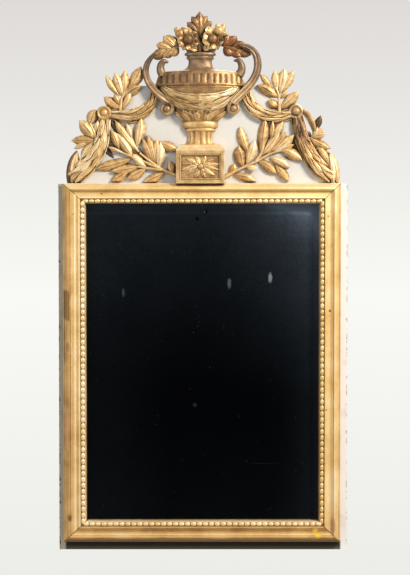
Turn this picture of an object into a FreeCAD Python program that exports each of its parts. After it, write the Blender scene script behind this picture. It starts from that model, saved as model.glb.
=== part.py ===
import FreeCAD, Part
import math
import os

V = FreeCAD.Vector

# Wall mirror with a gilded moulding and a carved crest, in millimetres.
# X runs to the right, the front faces -Y and Z runs up. The wall is the plane y = 0.
# The origin is the middle of the top rail's back face, where the mirror lies on the wall.

# Carcass, the painted back frame
CARCASS_W = 549.0
CARCASS_H = 698.0
CARCASS_D = 26.0
LEDGE_SIDE = 11.0
LEDGE_BOTTOM = 17.0
LEDGE_TOP = 0.0
REBATE_W = 10.0
REBATE_D = 14.0
TENON_L = 32.0
TENON_T = 9.0
TENON_SHOULDER = 4.0
PEG_D = 6.0

# Gilded moulding
MOULDING_W = 41.0
MOULDING_H = 24.0
SIGHT_LIP = 5.0
OUTER_EDGE_H = 15.0
BAND_W = 13.2
CREASE_W = 3.2
CREASE_DROP = 5.4
COVE_LOW_H = 18.4
COVE_END_H = 22.4
BEAD_SEAT_H = 19.0
BEAD_D = 6.6
BEAD_NECK_D = 2.6
BEAD_PITCH = 11.3
BEAD_GAP = 0.3
FILLET_H = 20.0
BEVEL_W = 2.8
SIGHT_H = 13.5

# Mirror plate and its backing
PLATE_T = 4.0
PLATE_GAP = 1.5
BLOCK_L = 40.0
BOARD_T = 8.0
BOARD_GAP = 1.0
BOARD_COUNT = 3
NAIL_D = 2.0
NAIL_HEAD_D = 5.0
NAIL_HEAD_T = 1.0
NAIL_L = 16.0

# Crest, traced in pixels of the photograph: its height and the carcass's width set how long one pixel is
CREST_H = 323.0
CARCASS_PX = 289.1
CENTRE_PX = 203.2
BASE_PX = 183.6
TOP_PX = 13.5
PANEL_T = 14.0
LEAF_RISE = 10.0
BLOOM_RISE = 13.0
STEM_D = 6.2
STEM_SUNK_SHARE = 0.12
STRAP_D = 9.5
GARLAND_FLAT = 4.0
BUTTON_RISE = 15.0
BUTTON_RIM_SHARE = 0.7
BUTTON_CHAMFER_SHARE = 0.3
BUTTON_EYE_SHARE = 0.75
HANDLE_OUT = 6.0
CORNER_LEAF_T = 12.0
URN_DEPTH_SHARE = 0.5

# Battens, dowels and screws that hold the crest
BATTEN_W = 30.0
BATTEN_T = 10.0
BATTEN_X_SHARE = 0.1676
BATTEN_RISE = 150.0
BATTEN_GAP = 2.0
DOWEL_D = 8.0
DOWEL_L = 32.0
SCREW_D = 3.5
SCREW_HEAD_D = 7.0
SCREW_HEAD_T = 1.8
SCREW_SLOT_W = 0.9
SCREW_SLOT_DEPTH = 0.8
BATTEN_SCREW_L = 20.0
HANGER_SCREW_L = 12.0

# Hanging plates and their loose rings
HANGER_X_SHARE = 0.2732
HANGER_RISE = 62.0
HANGER_W = 16.0
HANGER_L = 44.0
HANGER_T = 1.5
HANGER_SCREW_PITCH = 18.0
KNUCKLE_L = 12.0
KNUCKLE_WALL = 1.25
RING_WIRE_D = 3.0
RING_HALF_W = 10.0
RING_DROP = 25.0
RING_CORNER_R = 3.0

# Clearances, and how far a cutter runs past what it cuts
FIT = 0.05
JOINT_FIT = 0.1
OVERRUN = 20.0

# Sizes worked out from the ones above
STILE_W = LEDGE_SIDE + MOULDING_W - SIGHT_LIP
TOP_RAIL_H = LEDGE_TOP + MOULDING_W - SIGHT_LIP
BOTTOM_RAIL_H = LEDGE_BOTTOM + MOULDING_W - SIGHT_LIP
TOP_Z = TOP_RAIL_H / 2
BOTTOM_Z = TOP_Z - CARCASS_H
OPENING_X = CARCASS_W / 2 - STILE_W
OPENING_TOP = TOP_Z - TOP_RAIL_H
OPENING_BOTTOM = BOTTOM_Z + BOTTOM_RAIL_H
BEAD_SEAT_W = BEAD_D + 2 * BEAD_GAP
BEAD_U = MOULDING_W - BEVEL_W - BEAD_SEAT_W / 2
FACE_Y = -(BATTEN_T + PANEL_T)
PX = CREST_H / (BASE_PX - TOP_PX)
PX_ACROSS = CARCASS_W / CARCASS_PX
BATTEN_X = CARCASS_W * BATTEN_X_SHARE
BATTEN_SEAT = TOP_RAIL_H - REBATE_W - BATTEN_GAP
HANGER_X = CARCASS_W * HANGER_X_SHARE
RING_R = RING_WIRE_D / 2
KNUCKLE_R = RING_R + FIT + KNUCKLE_WALL
RING_Y = KNUCKLE_R - BATTEN_T
RING_Z = TOP_Z + HANGER_RISE

# Leaves are (tip x, tip y, root x, root y, width), all in pixels of the photograph.
LEFT_SPRAY_PX = (
    (106, 75.5, 118, 99, 5), (115.5, 73.5, 121, 97, 8), (125, 70.5, 123, 97, 6.5),
    (115, 94, 120, 105, 4), (143, 66, 129, 87, 10), (142, 87, 123, 98, 9), (104, 98, 121, 107, 8),
)
LEFT_SPRAY_STEMS_PX = (((120, 111), (121, 98), (130, 86)),)
RIGHT_SPRAY_PX = (
    (258, 76, 266, 86, 3), (262, 74, 273, 90, 6), (275, 70.5, 274, 90, 7), (284, 70, 278, 92, 10),
    (294, 71.5, 281, 92, 8), (257, 84, 276, 97, 8), (298.5, 92.5, 279, 108, 9), (268, 101, 279, 109, 7),
    (286, 89, 279, 99, 4),
)
RIGHT_SPRAY_STEMS_PX = (((279, 112), (278, 98), (275, 87)),)
LEFT_OUTER_PX = (
    (97, 109, 91, 126, 9), (93, 121, 94, 133, 4), (79.5, 120, 95, 139, 11), (72, 141, 96, 140, 8),
    (74, 149, 88, 143, 4), (81, 159, 94, 141, 7),
)
LEFT_OUTER_STEMS_PX = (((91, 124), (94, 131), (100, 143)),)
RIGHT_OUTER_PX = (
    (320, 116, 315, 130, 6), (310, 128, 319, 137, 6), (325, 129, 316, 136, 6), (318, 139, 317, 129, 8),
    (330.5, 149, 311, 138, 7), (329, 166, 317, 143, 8),
)
RIGHT_OUTER_STEMS_PX = (((315, 128), (315, 138), (305, 150)),)
RIGHT_STRAP_PX = ((296, 111), (309, 110), (316, 131))
LEFT_CORNER_PX = (
    ((79, 149), (72, 157), (66.8, 166), (66, 175), (66.5, 183.6)),
    ((66.5, 183.6), (84, 183.6)),
    ((84, 183.6), (80, 174), (81, 162), (79, 149)),
)
RIGHT_CORNER_PX = (
    ((328, 148), (334, 156), (337.4, 166), (338, 175), (338, 183.6)),
    ((338, 183.6), (321, 183.6)),
    ((321, 183.6), (326, 174), (326, 162), (328, 148)),
)
LEFT_LAUREL_PX = (
    (95, 168, 130, 156, 9), (114, 134, 132, 158, 9), (117, 121, 140, 150, 9), (127, 124, 134, 141, 4),
    (141, 120, 137, 147, 9), (110, 130, 120, 151, 7), (141, 139, 151, 162, 7), (148, 136, 154, 163, 7),
    (158, 141, 155, 163, 6), (160, 144, 158, 168, 9), (177, 150, 160, 146, 9), (168, 161, 170, 173, 7),
    (135, 155, 147, 168, 6), (112, 171, 146, 168, 8), (112, 180, 130, 169.5, 7), (127, 178, 148, 168, 8),
    (145, 182, 165, 169.5, 7),
)
LEFT_LAUREL_STEMS_PX = (
    ((177, 174), (161, 169), (143, 155), (135, 146)),
    ((157, 167), (140, 160), (122, 152), (108, 147.5)),
    ((160, 169), (143, 167.5)),
)
RIGHT_LAUREL_PX = (
    (234, 163, 230, 173, 6), (240, 127, 246.5, 152, 8), (238, 146, 243, 168, 9), (254, 141, 245, 165, 8),
    (264, 121, 260, 151, 9), (272.5, 121, 271, 139, 4), (283, 122, 267, 144, 6), (279, 134, 261, 157, 9),
    (285, 132, 264.5, 153.5, 6), (290, 137, 270, 152, 8), (296, 144, 276, 151, 6), (302, 160, 278, 149, 8),
    (288, 167, 259, 155, 8), (277, 174, 257, 160, 8), (288, 180, 270, 165, 8), (257, 181, 231, 171, 6),
    (257, 168, 245, 167, 4),
)
RIGHT_LAUREL_STEMS_PX = (
    ((224, 175), (243, 167), (262, 156), (283, 148)),
    ((257, 160), (262, 148)),
)
BOUQUET_TOP_PX = (
    (199.5, 13.5, 199.3, 37, 15), (187, 23.6, 199.8, 35, 8.8),
    (212, 21.5, 200, 36, 9), (199.3, 30, 200.5, 54, 10),
)
LEFT_LEAVES_PX = (
    (164, 37, 181, 49, 9), (156, 45.5, 181, 48.5, 7), (153.5, 57.5, 182, 45, 9), (165, 58, 178, 46, 6),
    (176, 56, 179, 45, 6),
)
RIGHT_LEAVES_PX = (
    (232, 35, 220, 48, 9), (243, 42, 220, 47, 7), (250.5, 56.5, 219, 45, 10), (238, 57, 224, 46, 7),
    (224, 56, 222, 45, 6),
)

# Flowers are (centre x, centre y, core radius, petal reach, petals); buds are (x, y, radius).
LEFT_FLOWER_PX = (189, 41, 5, 10, 8)
LEFT_BUDS_PX = ((180, 33.5, 5.2), (185.5, 28.5, 3.2))
RIGHT_FLOWER_PX = (212.5, 41.5, 4.6, 10.5, 8)
RIGHT_BUDS_PX = ((220.5, 30.8, 6.4),)
PETAL_WIDTH_SHARE = 0.78

# Garlands, handles and horns are bent rods: their route in pixels, and their thickness
LEFT_UPPER_GARLAND_PX = ((106, 114.5), (134, 117.5), (151, 112), (153, 90))
RIGHT_UPPER_GARLAND_PX = ((246.5, 92), (249, 107), (268, 117), (295, 114))
UPPER_GARLAND_D = 20.5
LEFT_DROP_PX = ((105.5, 116), (103.5, 142), (91, 163), (74, 180))
RIGHT_DROP_PX = ((296, 116), (301, 142), (313, 161), (331, 179))
DROP_GARLAND_D = 26.0
LEFT_HANDLE_PX = ((156, 56), (147, 63), (146, 80), (155, 91), (168, 104), (168, 110))
RIGHT_HANDLE_PX = ((239, 45), (257, 50), (259, 70), (251, 88), (236, 99), (234, 109))
LEFT_HANDLE_D = 9.0
RIGHT_HANDLE_D = 10.5
HANDLE_ENDS_PX = ((168.5, 109.5, 5.4), (234, 108.5, 4.6))
LEFT_HORN_PX = ((163, 77), (161, 66), (169, 60.5))
RIGHT_HORN_PX = ((239.5, 77), (242.5, 66), (234, 60.5))
HORN_D = 9.0
BUTTONS_PX = ((105.5, 113, 7.2), (295.5, 112, 7.4))

# Urn: (radius, height) of each turned section about its axis, in pixels of the photograph.
# A row of flutes is its count, its (radius, height) at top and bottom, its width and its depth share.
URN_AXIS_PX = 200.4
URN_NECK_PX = (
    (0, 54), (15, 54), (15, 57), (12.6, 58), (12.6, 60.5), (11.6, 61), (11.6, 65), (14, 69.5), (20, 72),
)
URN_BODY_PX = ((0, 72), (20, 72), (39, 74.2), (41, 75.6), (45, 84.5), (43.5, 85.5), (43, 88))
URN_BOWL_PX = ((0, 88), (41.5, 88), (38.5, 93), (33.5, 99), (28.3, 104), (25, 113), (20, 119), (17, 122))
URN_FOOT_PX = ((0, 122), (16.6, 122), (18, 125.5), (17.6, 129), (15.4, 129.6), (15.2, 131.4), (13, 133),
               (12.2, 138), (13.4, 142.5), (17, 145))
SWAG_TOP_PX = ((163, 87), (178, 95), (200, 97.5), (222, 95), (238, 88))
SWAG_BOTTOM_PX = ((238, 92), (226, 103), (203, 109.5), (180, 104), (163, 91))
SWAG_RISE = 6.0
BODY_FLUTES = (19, (41.3, 76.4), (44.7, 84), 6.0, 0.34)
CUP_FLUTES = (12, (26.3, 110.5), (18.6, 120.8), 6.5, 0.3)
FOOT_FLUTES = (8, (12.6, 133.4), (12.6, 143.4), 7.5, 0.3)

# Pedestal under the urn
PEDESTAL_LEFT_PX = 176.5
PEDESTAL_RIGHT_PX = 224.5
PEDESTAL_TOP_PX = 151
CAP_TOP_PX = 145
CAP_INSET = 8.0
PEDESTAL_D = 30.0
CAP_TOP_D = 19.0
PANEL_BORDER = 8.5
PANEL_SINK = 4.0
ROSETTE_PETALS = 12
ROSETTE_RISE = 6.0
ROSETTE_PETAL_W = 10.5
ROSETTE_BUTTON_D = 10.0
ROSETTE_BUTTON_SHARE = 1.2
ROSETTE_GAP = 1.0

# The ground board behind the carving: runs that meet at corners, each run a smooth edge
PANEL_RUNS_PX = (
    ((74, 183.6), (80, 171), (93, 157), (99.5, 141), (99, 123), (100, 108)),
    ((100, 108), (112, 107), (121, 103), (131, 92), (146, 86)),
    ((146, 86), (158, 87)),
    ((158, 87), (163, 78), (192, 74)),
    ((192, 74), (192.5, 60), (186, 50), (185, 38), (199, 27), (216, 34), (217, 48), (209, 60), (209, 74)),
    ((209, 74), (237, 78), (243, 87)),
    ((243, 87), (256, 85)),
    ((256, 85), (266, 92), (280, 106), (291, 107), (302, 109)),
    ((302, 109), (303, 126), (309, 146), (320, 161), (328, 172), (331, 183.6)),
)
DOWEL_SHARES = (-0.42, -0.14, 0.14, 0.42)


def block(x0, x1, y0, y1, z0, z1):
    """A box between two corners, given in any order."""
    corner = V(min(x0, x1), min(y0, y1), min(z0, z1))
    return Part.makeBox(abs(x1 - x0), abs(y1 - y0), abs(z1 - z0), corner)


def rod(start, end, diameter):
    """A round bar from one point to another."""
    way = end - start
    return Part.makeCylinder(diameter / 2, way.Length, start, way)


def spot(px, py, y=FACE_Y):
    """The place in the model of a pixel of the photograph's crest."""
    return V((px - CENTRE_PX) * PX_ACROSS, y, TOP_Z + (BASE_PX - py) * PX)


def main_solid(shape):
    """The carved piece without the offcuts that a neighbour leaves behind it."""
    return max(shape.Solids, key=lambda solid: solid.Volume)


def carved_round(shape, neighbours):
    """A piece cut back where its neighbours stand in front of it."""
    near = [other for other in neighbours if other.BoundBox.intersect(shape.BoundBox)]
    return main_solid(shape.cut(near)) if near else shape


def joined(shapes):
    """Several overlapping shapes as one solid."""
    if len(shapes) == 1:
        return shapes[0]
    return main_solid(shapes[0].fuse(shapes[1:]))


def save(name, shape):
    """Write one sub-part under its own name."""
    shape.exportStep("parts/" + name + ".step")
    print(name, len(shape.Solids), round(shape.Volume), shape.isValid())


def stile(side, tools):
    """One upright of the carcass, rebated behind and mortised for both rails."""
    outer = side * CARCASS_W / 2
    inner = side * OPENING_X
    body = block(outer, inner, -CARCASS_D, 0, BOTTOM_Z, TOP_Z)
    rebate = block(inner - side * OVERRUN, inner + side * REBATE_W, -REBATE_D, OVERRUN,
                   OPENING_BOTTOM - REBATE_W, OPENING_TOP + REBATE_W)
    mortises = [tenon(side, at_top, JOINT_FIT) for at_top in (True, False)]
    return body.cut([rebate] + mortises + tools)


def tenon(side, at_top, slack=0.0):
    """The tongue at a rail's end, or the mortise for it when slack is given."""
    low, high = tenon_height(at_top)
    inner = side * OPENING_X
    reach = side * (OPENING_X + TENON_L + slack)
    y_mid = -CARCASS_D / 2
    half = TENON_T / 2 + slack
    return block(inner, reach, y_mid - half, y_mid + half, low - slack, high + slack)


def tenon_height(at_top):
    """The lowest and highest point of a tenon."""
    if at_top:
        return OPENING_TOP + REBATE_W + TENON_SHOULDER, TOP_Z - TENON_SHOULDER
    return BOTTOM_Z + TENON_SHOULDER, OPENING_BOTTOM - REBATE_W - TENON_SHOULDER


def rail(at_top, tools):
    """The top or bottom member of the carcass with its two tenons."""
    low, high = (OPENING_TOP, TOP_Z) if at_top else (BOTTOM_Z, OPENING_BOTTOM)
    body = block(-OPENING_X, OPENING_X, -CARCASS_D, 0, low, high)
    rebate_z = (OPENING_TOP - OVERRUN, OPENING_TOP + REBATE_W)
    if not at_top:
        rebate_z = (OPENING_BOTTOM - REBATE_W, OPENING_BOTTOM + OVERRUN)
    rebate = block(-CARCASS_W / 2, CARCASS_W / 2, -REBATE_D, OVERRUN, *rebate_z)
    body = body.cut(rebate).fuse([tenon(-1, at_top), tenon(1, at_top)])
    return main_solid(body.cut(tools))


def pegs(slack=0.0):
    """The four pegs that pin the tenons, or their holes when slack is given."""
    found = []
    for side in (-1, 1):
        for at_top in (True, False):
            x = side * (OPENING_X + TENON_L / 2)
            z = sum(tenon_height(at_top)) / 2
            found.append(rod(V(x, -CARCASS_D, z), V(x, 0, z), PEG_D + 2 * slack))
    return found


def moulding_face():
    """The moulding's section: across from the outer edge, and up from its back."""
    cove_start = BAND_W + CREASE_W
    cove_end = MOULDING_W - BEVEL_W - BEAD_SEAT_W
    crease_h = MOULDING_H - CREASE_DROP
    knee_share = 0.38
    knee_h = OUTER_EDGE_H + (MOULDING_H - OUTER_EDGE_H) * 2 * knee_share

    def p(across, up):
        return V(0, across, up)

    foot, edge, ridge = p(0, 0), p(0, OUTER_EDGE_H), p(BAND_W, MOULDING_H)
    crease, cove_out = p(cove_start, crease_h), p(cove_end, COVE_END_H)
    band = Part.Arc(edge, p(BAND_W * knee_share, knee_h), ridge).toShape()
    cove = Part.Arc(crease, p((cove_start + cove_end) / 2, COVE_LOW_H), cove_out).toShape()
    inner = [cove_out, p(cove_end, BEAD_SEAT_H), p(MOULDING_W - BEVEL_W, BEAD_SEAT_H),
             p(MOULDING_W - BEVEL_W, FILLET_H), p(MOULDING_W, SIGHT_H), p(MOULDING_W, 0), foot]
    edges = [Part.makeLine(foot, edge), band, Part.makeLine(ridge, crease), cove]
    edges += [Part.makeLine(a, b) for a, b in zip(inner, inner[1:])]
    return Part.Face(Part.Wire(edges))


def mitred(shape, length):
    """A member cut at 45 degrees at both ends, where its neighbours meet it."""
    inner = [V(length - MOULDING_W, MOULDING_W, 0), V(MOULDING_W, MOULDING_W, 0)]
    corners = [V(0, 0, 0), V(length, 0, 0)] + inner
    keep = Part.Face(Part.makePolygon(corners + corners[:1])).extrude(V(0, 0, MOULDING_H + OVERRUN))
    return main_solid(shape.common(keep))


def bead_course(length):
    """A row of half-round beads for one member, as one turned string of arcs."""
    start = BEAD_U
    span = length - 2 * start
    count = max(1, round(span / BEAD_PITCH))
    step = span / count
    neck = BEAD_NECK_D / 2
    edges = [Part.makeLine(V(start, 0, 0), V(start, neck, 0))]
    for i in range(count):
        x = start + i * step
        arc = Part.Arc(V(x, neck, 0), V(x + step / 2, BEAD_D / 2, 0), V(x + step, neck, 0))
        edges.append(arc.toShape())
    edges.append(Part.makeLine(V(start + span, neck, 0), V(start + span, 0, 0)))
    edges.append(Part.makeLine(V(start + span, 0, 0), V(start, 0, 0)))
    half = Part.Face(Part.Wire(edges)).revolve(V(0, 0, 0), V(1, 0, 0), 180)
    half.translate(V(0, BEAD_U, BEAD_SEAT_H))
    return half


def onto_frame(shape, corner, along, inward):
    """Move a member made along X onto its side of the frame."""
    out = along.cross(inward)
    turn = FreeCAD.Matrix(along.x, inward.x, out.x, corner.x,
                          along.y, inward.y, out.y, corner.y,
                          along.z, inward.z, out.z, corner.z, 0, 0, 0, 1)
    return placed(shape, turn)


def placed(shape, matrix):
    """A copy of a shape at a new place."""
    copy = shape.copy()
    copy.Placement = FreeCAD.Placement(matrix).multiply(copy.Placement)
    return copy


def members():
    """Name, corner, direction, inward direction and length of the four members."""
    x = CARCASS_W / 2 - LEDGE_SIDE
    top = TOP_Z - LEDGE_TOP
    bottom = BOTTOM_Z + LEDGE_BOTTOM
    across, up = V(1, 0, 0), V(0, 0, 1)
    return (
        ("bottom", V(-x, -CARCASS_D, bottom), across, up, 2 * x),
        ("right", V(x, -CARCASS_D, bottom), up, -across, top - bottom),
        ("top", V(x, -CARCASS_D, top), -across, -up, 2 * x),
        ("left", V(-x, -CARCASS_D, top), -up, across, top - bottom),
    )


def mirror_plate():
    """The looking-glass, held by the moulding's lip in front."""
    x = OPENING_X - PLATE_GAP
    low, high = OPENING_BOTTOM + PLATE_GAP, OPENING_TOP - PLATE_GAP
    return block(-x, x, -CARCASS_D, -CARCASS_D + PLATE_T, low, high)


def glazing_blocks():
    """Rubbed blocks that wedge the plate: two on each rail and three on each stile."""
    leg = CARCASS_D - PLATE_T - REBATE_D
    low_y = -CARCASS_D + PLATE_T
    triangle = Part.makePolygon([V(0, low_y, 0), V(leg, low_y, 0), V(0, low_y + leg, 0), V(0, low_y, 0)])
    wedge = Part.Face(triangle).extrude(V(0, 0, BLOCK_L))
    wedge.translate(V(0, 0, -BLOCK_L / 2))
    found = []
    side_shares = (0.16, 0.5, 0.84)
    rail_shares = (-0.5, 0.5)
    for share in side_shares:
        z = OPENING_BOTTOM + (OPENING_TOP - OPENING_BOTTOM) * share
        for turn, x in ((0, -OPENING_X), (180, OPENING_X)):
            found.append(turned_wedge(wedge, low_y, turn, x, z))
    for share in rail_shares:
        x = OPENING_X * share
        for turn, z in ((90, OPENING_TOP), (-90, OPENING_BOTTOM)):
            found.append(turned_wedge(wedge, low_y, turn, x, z))
    return found


def turned_wedge(wedge, y, angle, x, z):
    """One glazing block, turned so that its legs lie on the plate and the wood."""
    copy = wedge.copy()
    copy.rotate(V(0, y, 0), V(0, 1, 0), angle)
    copy.translate(V(x, 0, z))
    return copy


def board_edges():
    """The x places of the planks' sides, and their lowest and highest points."""
    x = OPENING_X + REBATE_W - BOARD_GAP
    width = (2 * x - (BOARD_COUNT - 1) * BOARD_GAP) / BOARD_COUNT
    starts = [-x + i * (width + BOARD_GAP) for i in range(BOARD_COUNT)]
    low = OPENING_BOTTOM - REBATE_W + BOARD_GAP
    high = OPENING_TOP + REBATE_W - BOARD_GAP
    return [(start, start + width) for start in starts], low, high


def nail_places():
    """Nails at both ends of each plank, and down the outer sides."""
    spans, low, high = board_edges()
    end_shares = (0.2, 0.8)
    side_shares = (0.25, 0.5, 0.75)
    inset = (REBATE_W - BOARD_GAP) / 2
    places = []
    for left, right in spans:
        for share in end_shares:
            x = left + (right - left) * share
            places += [(x, low + inset), (x, high - inset)]
    for share in side_shares:
        z = low + (high - low) * share
        places += [(spans[0][0] + inset, z), (spans[-1][1] - inset, z)]
    return places


def nails(slack=0.0):
    """Cut nails through the planks, or their holes when slack is given."""
    y = -REBATE_D + BOARD_T
    found = []
    for x, z in nail_places():
        shank = rod(V(x, y - NAIL_L, z), V(x, y, z), NAIL_D + 2 * slack)
        if slack:
            found.append(shank)
            continue
        head = rod(V(x, y, z), V(x, y + NAIL_HEAD_T, z), NAIL_HEAD_D)
        found.append(shank.fuse(head))
    return found


def screw(x, y, z, length, slack=0.0):
    """A countersunk wood screw whose head is flush at y, or its hole when slack is given."""
    radius, head = SCREW_D / 2 + slack, SCREW_HEAD_D / 2 + slack
    tip = V(x, y - length - slack, z)
    outline = [V(x, y, z), V(x + head, y, z), V(x + radius, y - SCREW_HEAD_T, z), tip + V(radius, 0, 0), tip]
    body = Part.Face(Part.makePolygon(outline + outline[:1])).revolve(V(x, y, z), V(0, 1, 0), 360)
    if slack:
        return body
    half = SCREW_SLOT_W / 2
    return body.cut(block(x - head, x + head, y - SCREW_SLOT_DEPTH, y + OVERRUN, z - half, z + half))


def batten_screws(slack=0.0):
    """Screws through each batten: one into the rail and two into the ground board."""
    rise_shares = (0.33, 0.83)
    heights = [TOP_Z - BATTEN_SEAT / 2] + [TOP_Z + BATTEN_RISE * share for share in rise_shares]
    found = []
    for side in (-1, 1):
        for z in heights:
            found.append(screw(side * BATTEN_X, 0, z, BATTEN_SCREW_L, slack))
    return found


def batten(side, slack=0.0):
    """An upright behind the crest, let into the back of the top rail."""
    x = side * BATTEN_X
    half = BATTEN_W / 2 + slack
    return block(x - half, x + half, -BATTEN_T - slack, 0, TOP_Z - BATTEN_SEAT - slack, TOP_Z + BATTEN_RISE)


def dowels(slack=0.0):
    """Dowels that stand in the top rail and locate the ground board."""
    base = (PANEL_RUNS_PX[-1][-1][0] - PANEL_RUNS_PX[0][0][0]) * PX_ACROSS
    middle = spot((PANEL_RUNS_PX[-1][-1][0] + PANEL_RUNS_PX[0][0][0]) / 2, BASE_PX).x
    y = FACE_Y + PANEL_T / 2
    half = DOWEL_L / 2 + slack
    places = [middle + base * share for share in DOWEL_SHARES]
    return [rod(V(x, y, TOP_Z - half), V(x, y, TOP_Z + half), DOWEL_D + 2 * slack) for x in places]


def smooth_edge(points):
    """A straight edge through two points, or a smooth one through more."""
    if len(points) == 2:
        return Part.makeLine(points[0], points[1])
    curve = Part.BSplineCurve()
    curve.interpolate(points)
    return curve.toShape()


def fretted(runs_px, y, thickness):
    """A board sawn to an outline whose runs meet at corners, standing forward of y."""
    runs = [[spot(px, py, y) for px, py in run] for run in runs_px]
    edges = [smooth_edge(run) for run in runs]
    if (runs[-1][-1] - runs[0][0]).Length > FIT:
        edges.append(Part.makeLine(runs[-1][-1], runs[0][0]))
    return Part.Face(Part.Wire(edges)).extrude(V(0, -thickness, 0))


def leaf(tip_x, tip_y, root_x, root_y, width_px, rise=LEAF_RISE):
    """A pointed leaf with a ridge down its middle, lower at its tip, on the ground board."""
    tip, root = spot(tip_x, tip_y), spot(root_x, root_y)
    return ridged(root, tip, width_px * PX, rise)


def ridged(root, tip, width, rise):
    """A lens-shaped piece from root to tip with a sloping ridge."""
    eave_share, tip_share = 0.8, 0.45
    length = (tip - root).Length
    half = width / 2
    ends = V(0, 0, 0), V(length, 0, 0)
    sides = [Part.Arc(ends[0], V(length / 2, s * half, 0), ends[1]).toShape() for s in (-1, 1)]
    lens = Part.Face(Part.Wire([sides[0], sides[1]])).extrude(V(0, 0, rise + OVERRUN))
    eave = rise * (1 - 2 * eave_share)
    run = V(length + 2 * width, 0, -rise * tip_share * (1 + 2 * width / length))
    start = V(-width, 0, rise * tip_share * width / length)
    roof = [V(0, -2 * width, eave - OVERRUN), V(0, -2 * width, eave - rise * eave_share),
            V(0, 0, rise), V(0, 2 * width, eave - rise * eave_share), V(0, 2 * width, eave - OVERRUN)]
    roof = [start + p for p in roof]
    tent = Part.Face(Part.makePolygon(roof + roof[:1])).extrude(run)
    along = (tip - root).normalize()
    out = V(0, -1, 0)
    across = out.cross(along)
    turn = FreeCAD.Matrix(along.x, across.x, out.x, root.x,
                          along.y, across.y, out.y, root.y,
                          along.z, across.z, out.z, root.z, 0, 0, 0, 1)
    return placed(lens.common(tent), turn)


def bent_rod(route_px, diameter, y):
    """A round rod along straight runs that are joined by arcs as large as the runs allow."""
    points = [spot(px, py, y) for px, py in route_px]
    bend_share = 0.46
    edges = []
    last = points[0]
    for before, corner, after in zip(points, points[1:], points[2:]):
        into, away = (corner - before), (after - corner)
        turn = into.getAngle(away)
        reach = bend_share * min(into.Length, away.Length)
        radius = reach / math.tan(turn / 2)
        into.normalize()
        away.normalize()
        start, end = corner - into * reach, corner + away * reach
        middle = corner + (away - into).normalize() * (radius / math.cos(turn / 2) - radius)
        edges += [Part.makeLine(last, start), Part.Arc(start, middle, end).toShape()]
        last = end
    edges.append(Part.makeLine(last, points[-1]))
    path = Part.Wire(edges)
    heading = (points[1] - points[0]).normalize()
    profile = Part.Wire(Part.makeCircle(diameter / 2, points[0], heading))
    return path.makePipeShell([profile], True, False)


def forward_of(shape, y=FACE_Y):
    """What stands in front of the ground board and above the frame."""
    box = shape.BoundBox
    keep = block(box.XMin - OVERRUN, box.XMax + OVERRUN, box.YMin - OVERRUN, y, TOP_Z, box.ZMax + OVERRUN)
    return main_solid(shape.common(keep))


def stem(route_px, diameter):
    """A round stem that lies on the ground board, its underside let in a little."""
    y = FACE_Y - diameter * (0.5 - STEM_SUNK_SHARE)
    if len(route_px) > 2:
        return bent_rod(route_px, diameter, y)
    return rod(spot(*route_px[0], y), spot(*route_px[1], y), diameter)


def spray(leaves_px, stems_px, straps_px=()):
    """Leaves on their stems, carved in one."""
    leaves = [leaf(*row) for row in leaves_px]
    stems = [stem(route, STEM_D) for route in stems_px]
    straps = [stem(route, STRAP_D) for route in straps_px]
    return joined(leaves + stems + straps)


def dome(px, py, radius_px, rise):
    """A round boss on the ground board: part of a ball of the given base radius and rise."""
    base = radius_px * PX
    radius = (base * base + rise * rise) / (2 * rise)
    centre = spot(px, py, FACE_Y + radius - rise)
    return forward_of(Part.makeSphere(radius, centre))


def button(px, py, radius_px):
    """A turned boss where a garland hangs: a rim with a domed eye."""
    rim = rod(spot(px, py), spot(px, py, FACE_Y - BUTTON_RISE * BUTTON_RIM_SHARE), 2 * radius_px * PX)
    front_edge = min(rim.Edges, key=lambda edge: edge.CenterOfMass.y)
    rim = rim.makeChamfer(BUTTON_RISE * BUTTON_CHAMFER_SHARE, [front_edge])
    eye = dome(px, py, radius_px * BUTTON_EYE_SHARE, BUTTON_RISE)
    return joined([rim, eye])


def flower(cx, cy, core_px, reach_px, petals):
    """A rose: a domed heart with a ring of petals."""
    heart = dome(cx, cy, core_px, BLOOM_RISE)
    ring = []
    width = 2 * math.pi * reach_px / petals * PETAL_WIDTH_SHARE
    for i in range(petals):
        angle = 2 * math.pi * i / petals
        tip = (cx + reach_px * math.cos(angle), cy + reach_px * math.sin(angle))
        ring.append(leaf(tip[0], tip[1], cx, cy, width, LEAF_RISE))
    return joined([heart] + ring)


def urn_section(rows_px, flutes=(), extra=0.0):
    """Half of a turned section, with flutes cut in it, before it is flattened."""
    axis = spot(URN_AXIS_PX, 0).x
    points = [V(axis + r * PX_ACROSS + (extra if r else 0), FACE_Y, spot(0, py).z) for r, py in rows_px]
    foot = V(axis, FACE_Y, points[-1].z)
    face = Part.Face(Part.makePolygon(points + [foot, points[0]]))
    half = face.revolve(V(axis, FACE_Y, 0), V(0, 0, 1), -180)
    return half.cut(list(flutes)) if flutes else half


def flattened(shape):
    """Press a half-round shape to the share of its depth that the relief has."""
    press = FreeCAD.Matrix()
    press.move(V(0, -FACE_Y, 0))
    press.scale(1, URN_DEPTH_SHARE, 1)
    press.move(V(0, FACE_Y, 0))
    return shape.transformGeometry(press)


def ring_of_flutes(count, top_px, bottom_px, width, depth_share):
    """Round-bottomed cutters, evenly spaced round the front half of the urn."""
    axis = spot(URN_AXIS_PX, 0).x
    cutters = []
    for i in range(count):
        angle = math.pi * (i + 0.5) / count
        ends = []
        for radius_px, py in (top_px, bottom_px):
            out = radius_px * PX_ACROSS + width * (0.5 - depth_share)
            ends.append(V(axis + out * math.cos(angle), FACE_Y - out * math.sin(angle), spot(0, py).z))
        cutters.append(rod(ends[0], ends[1], width))
    return cutters


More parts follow.
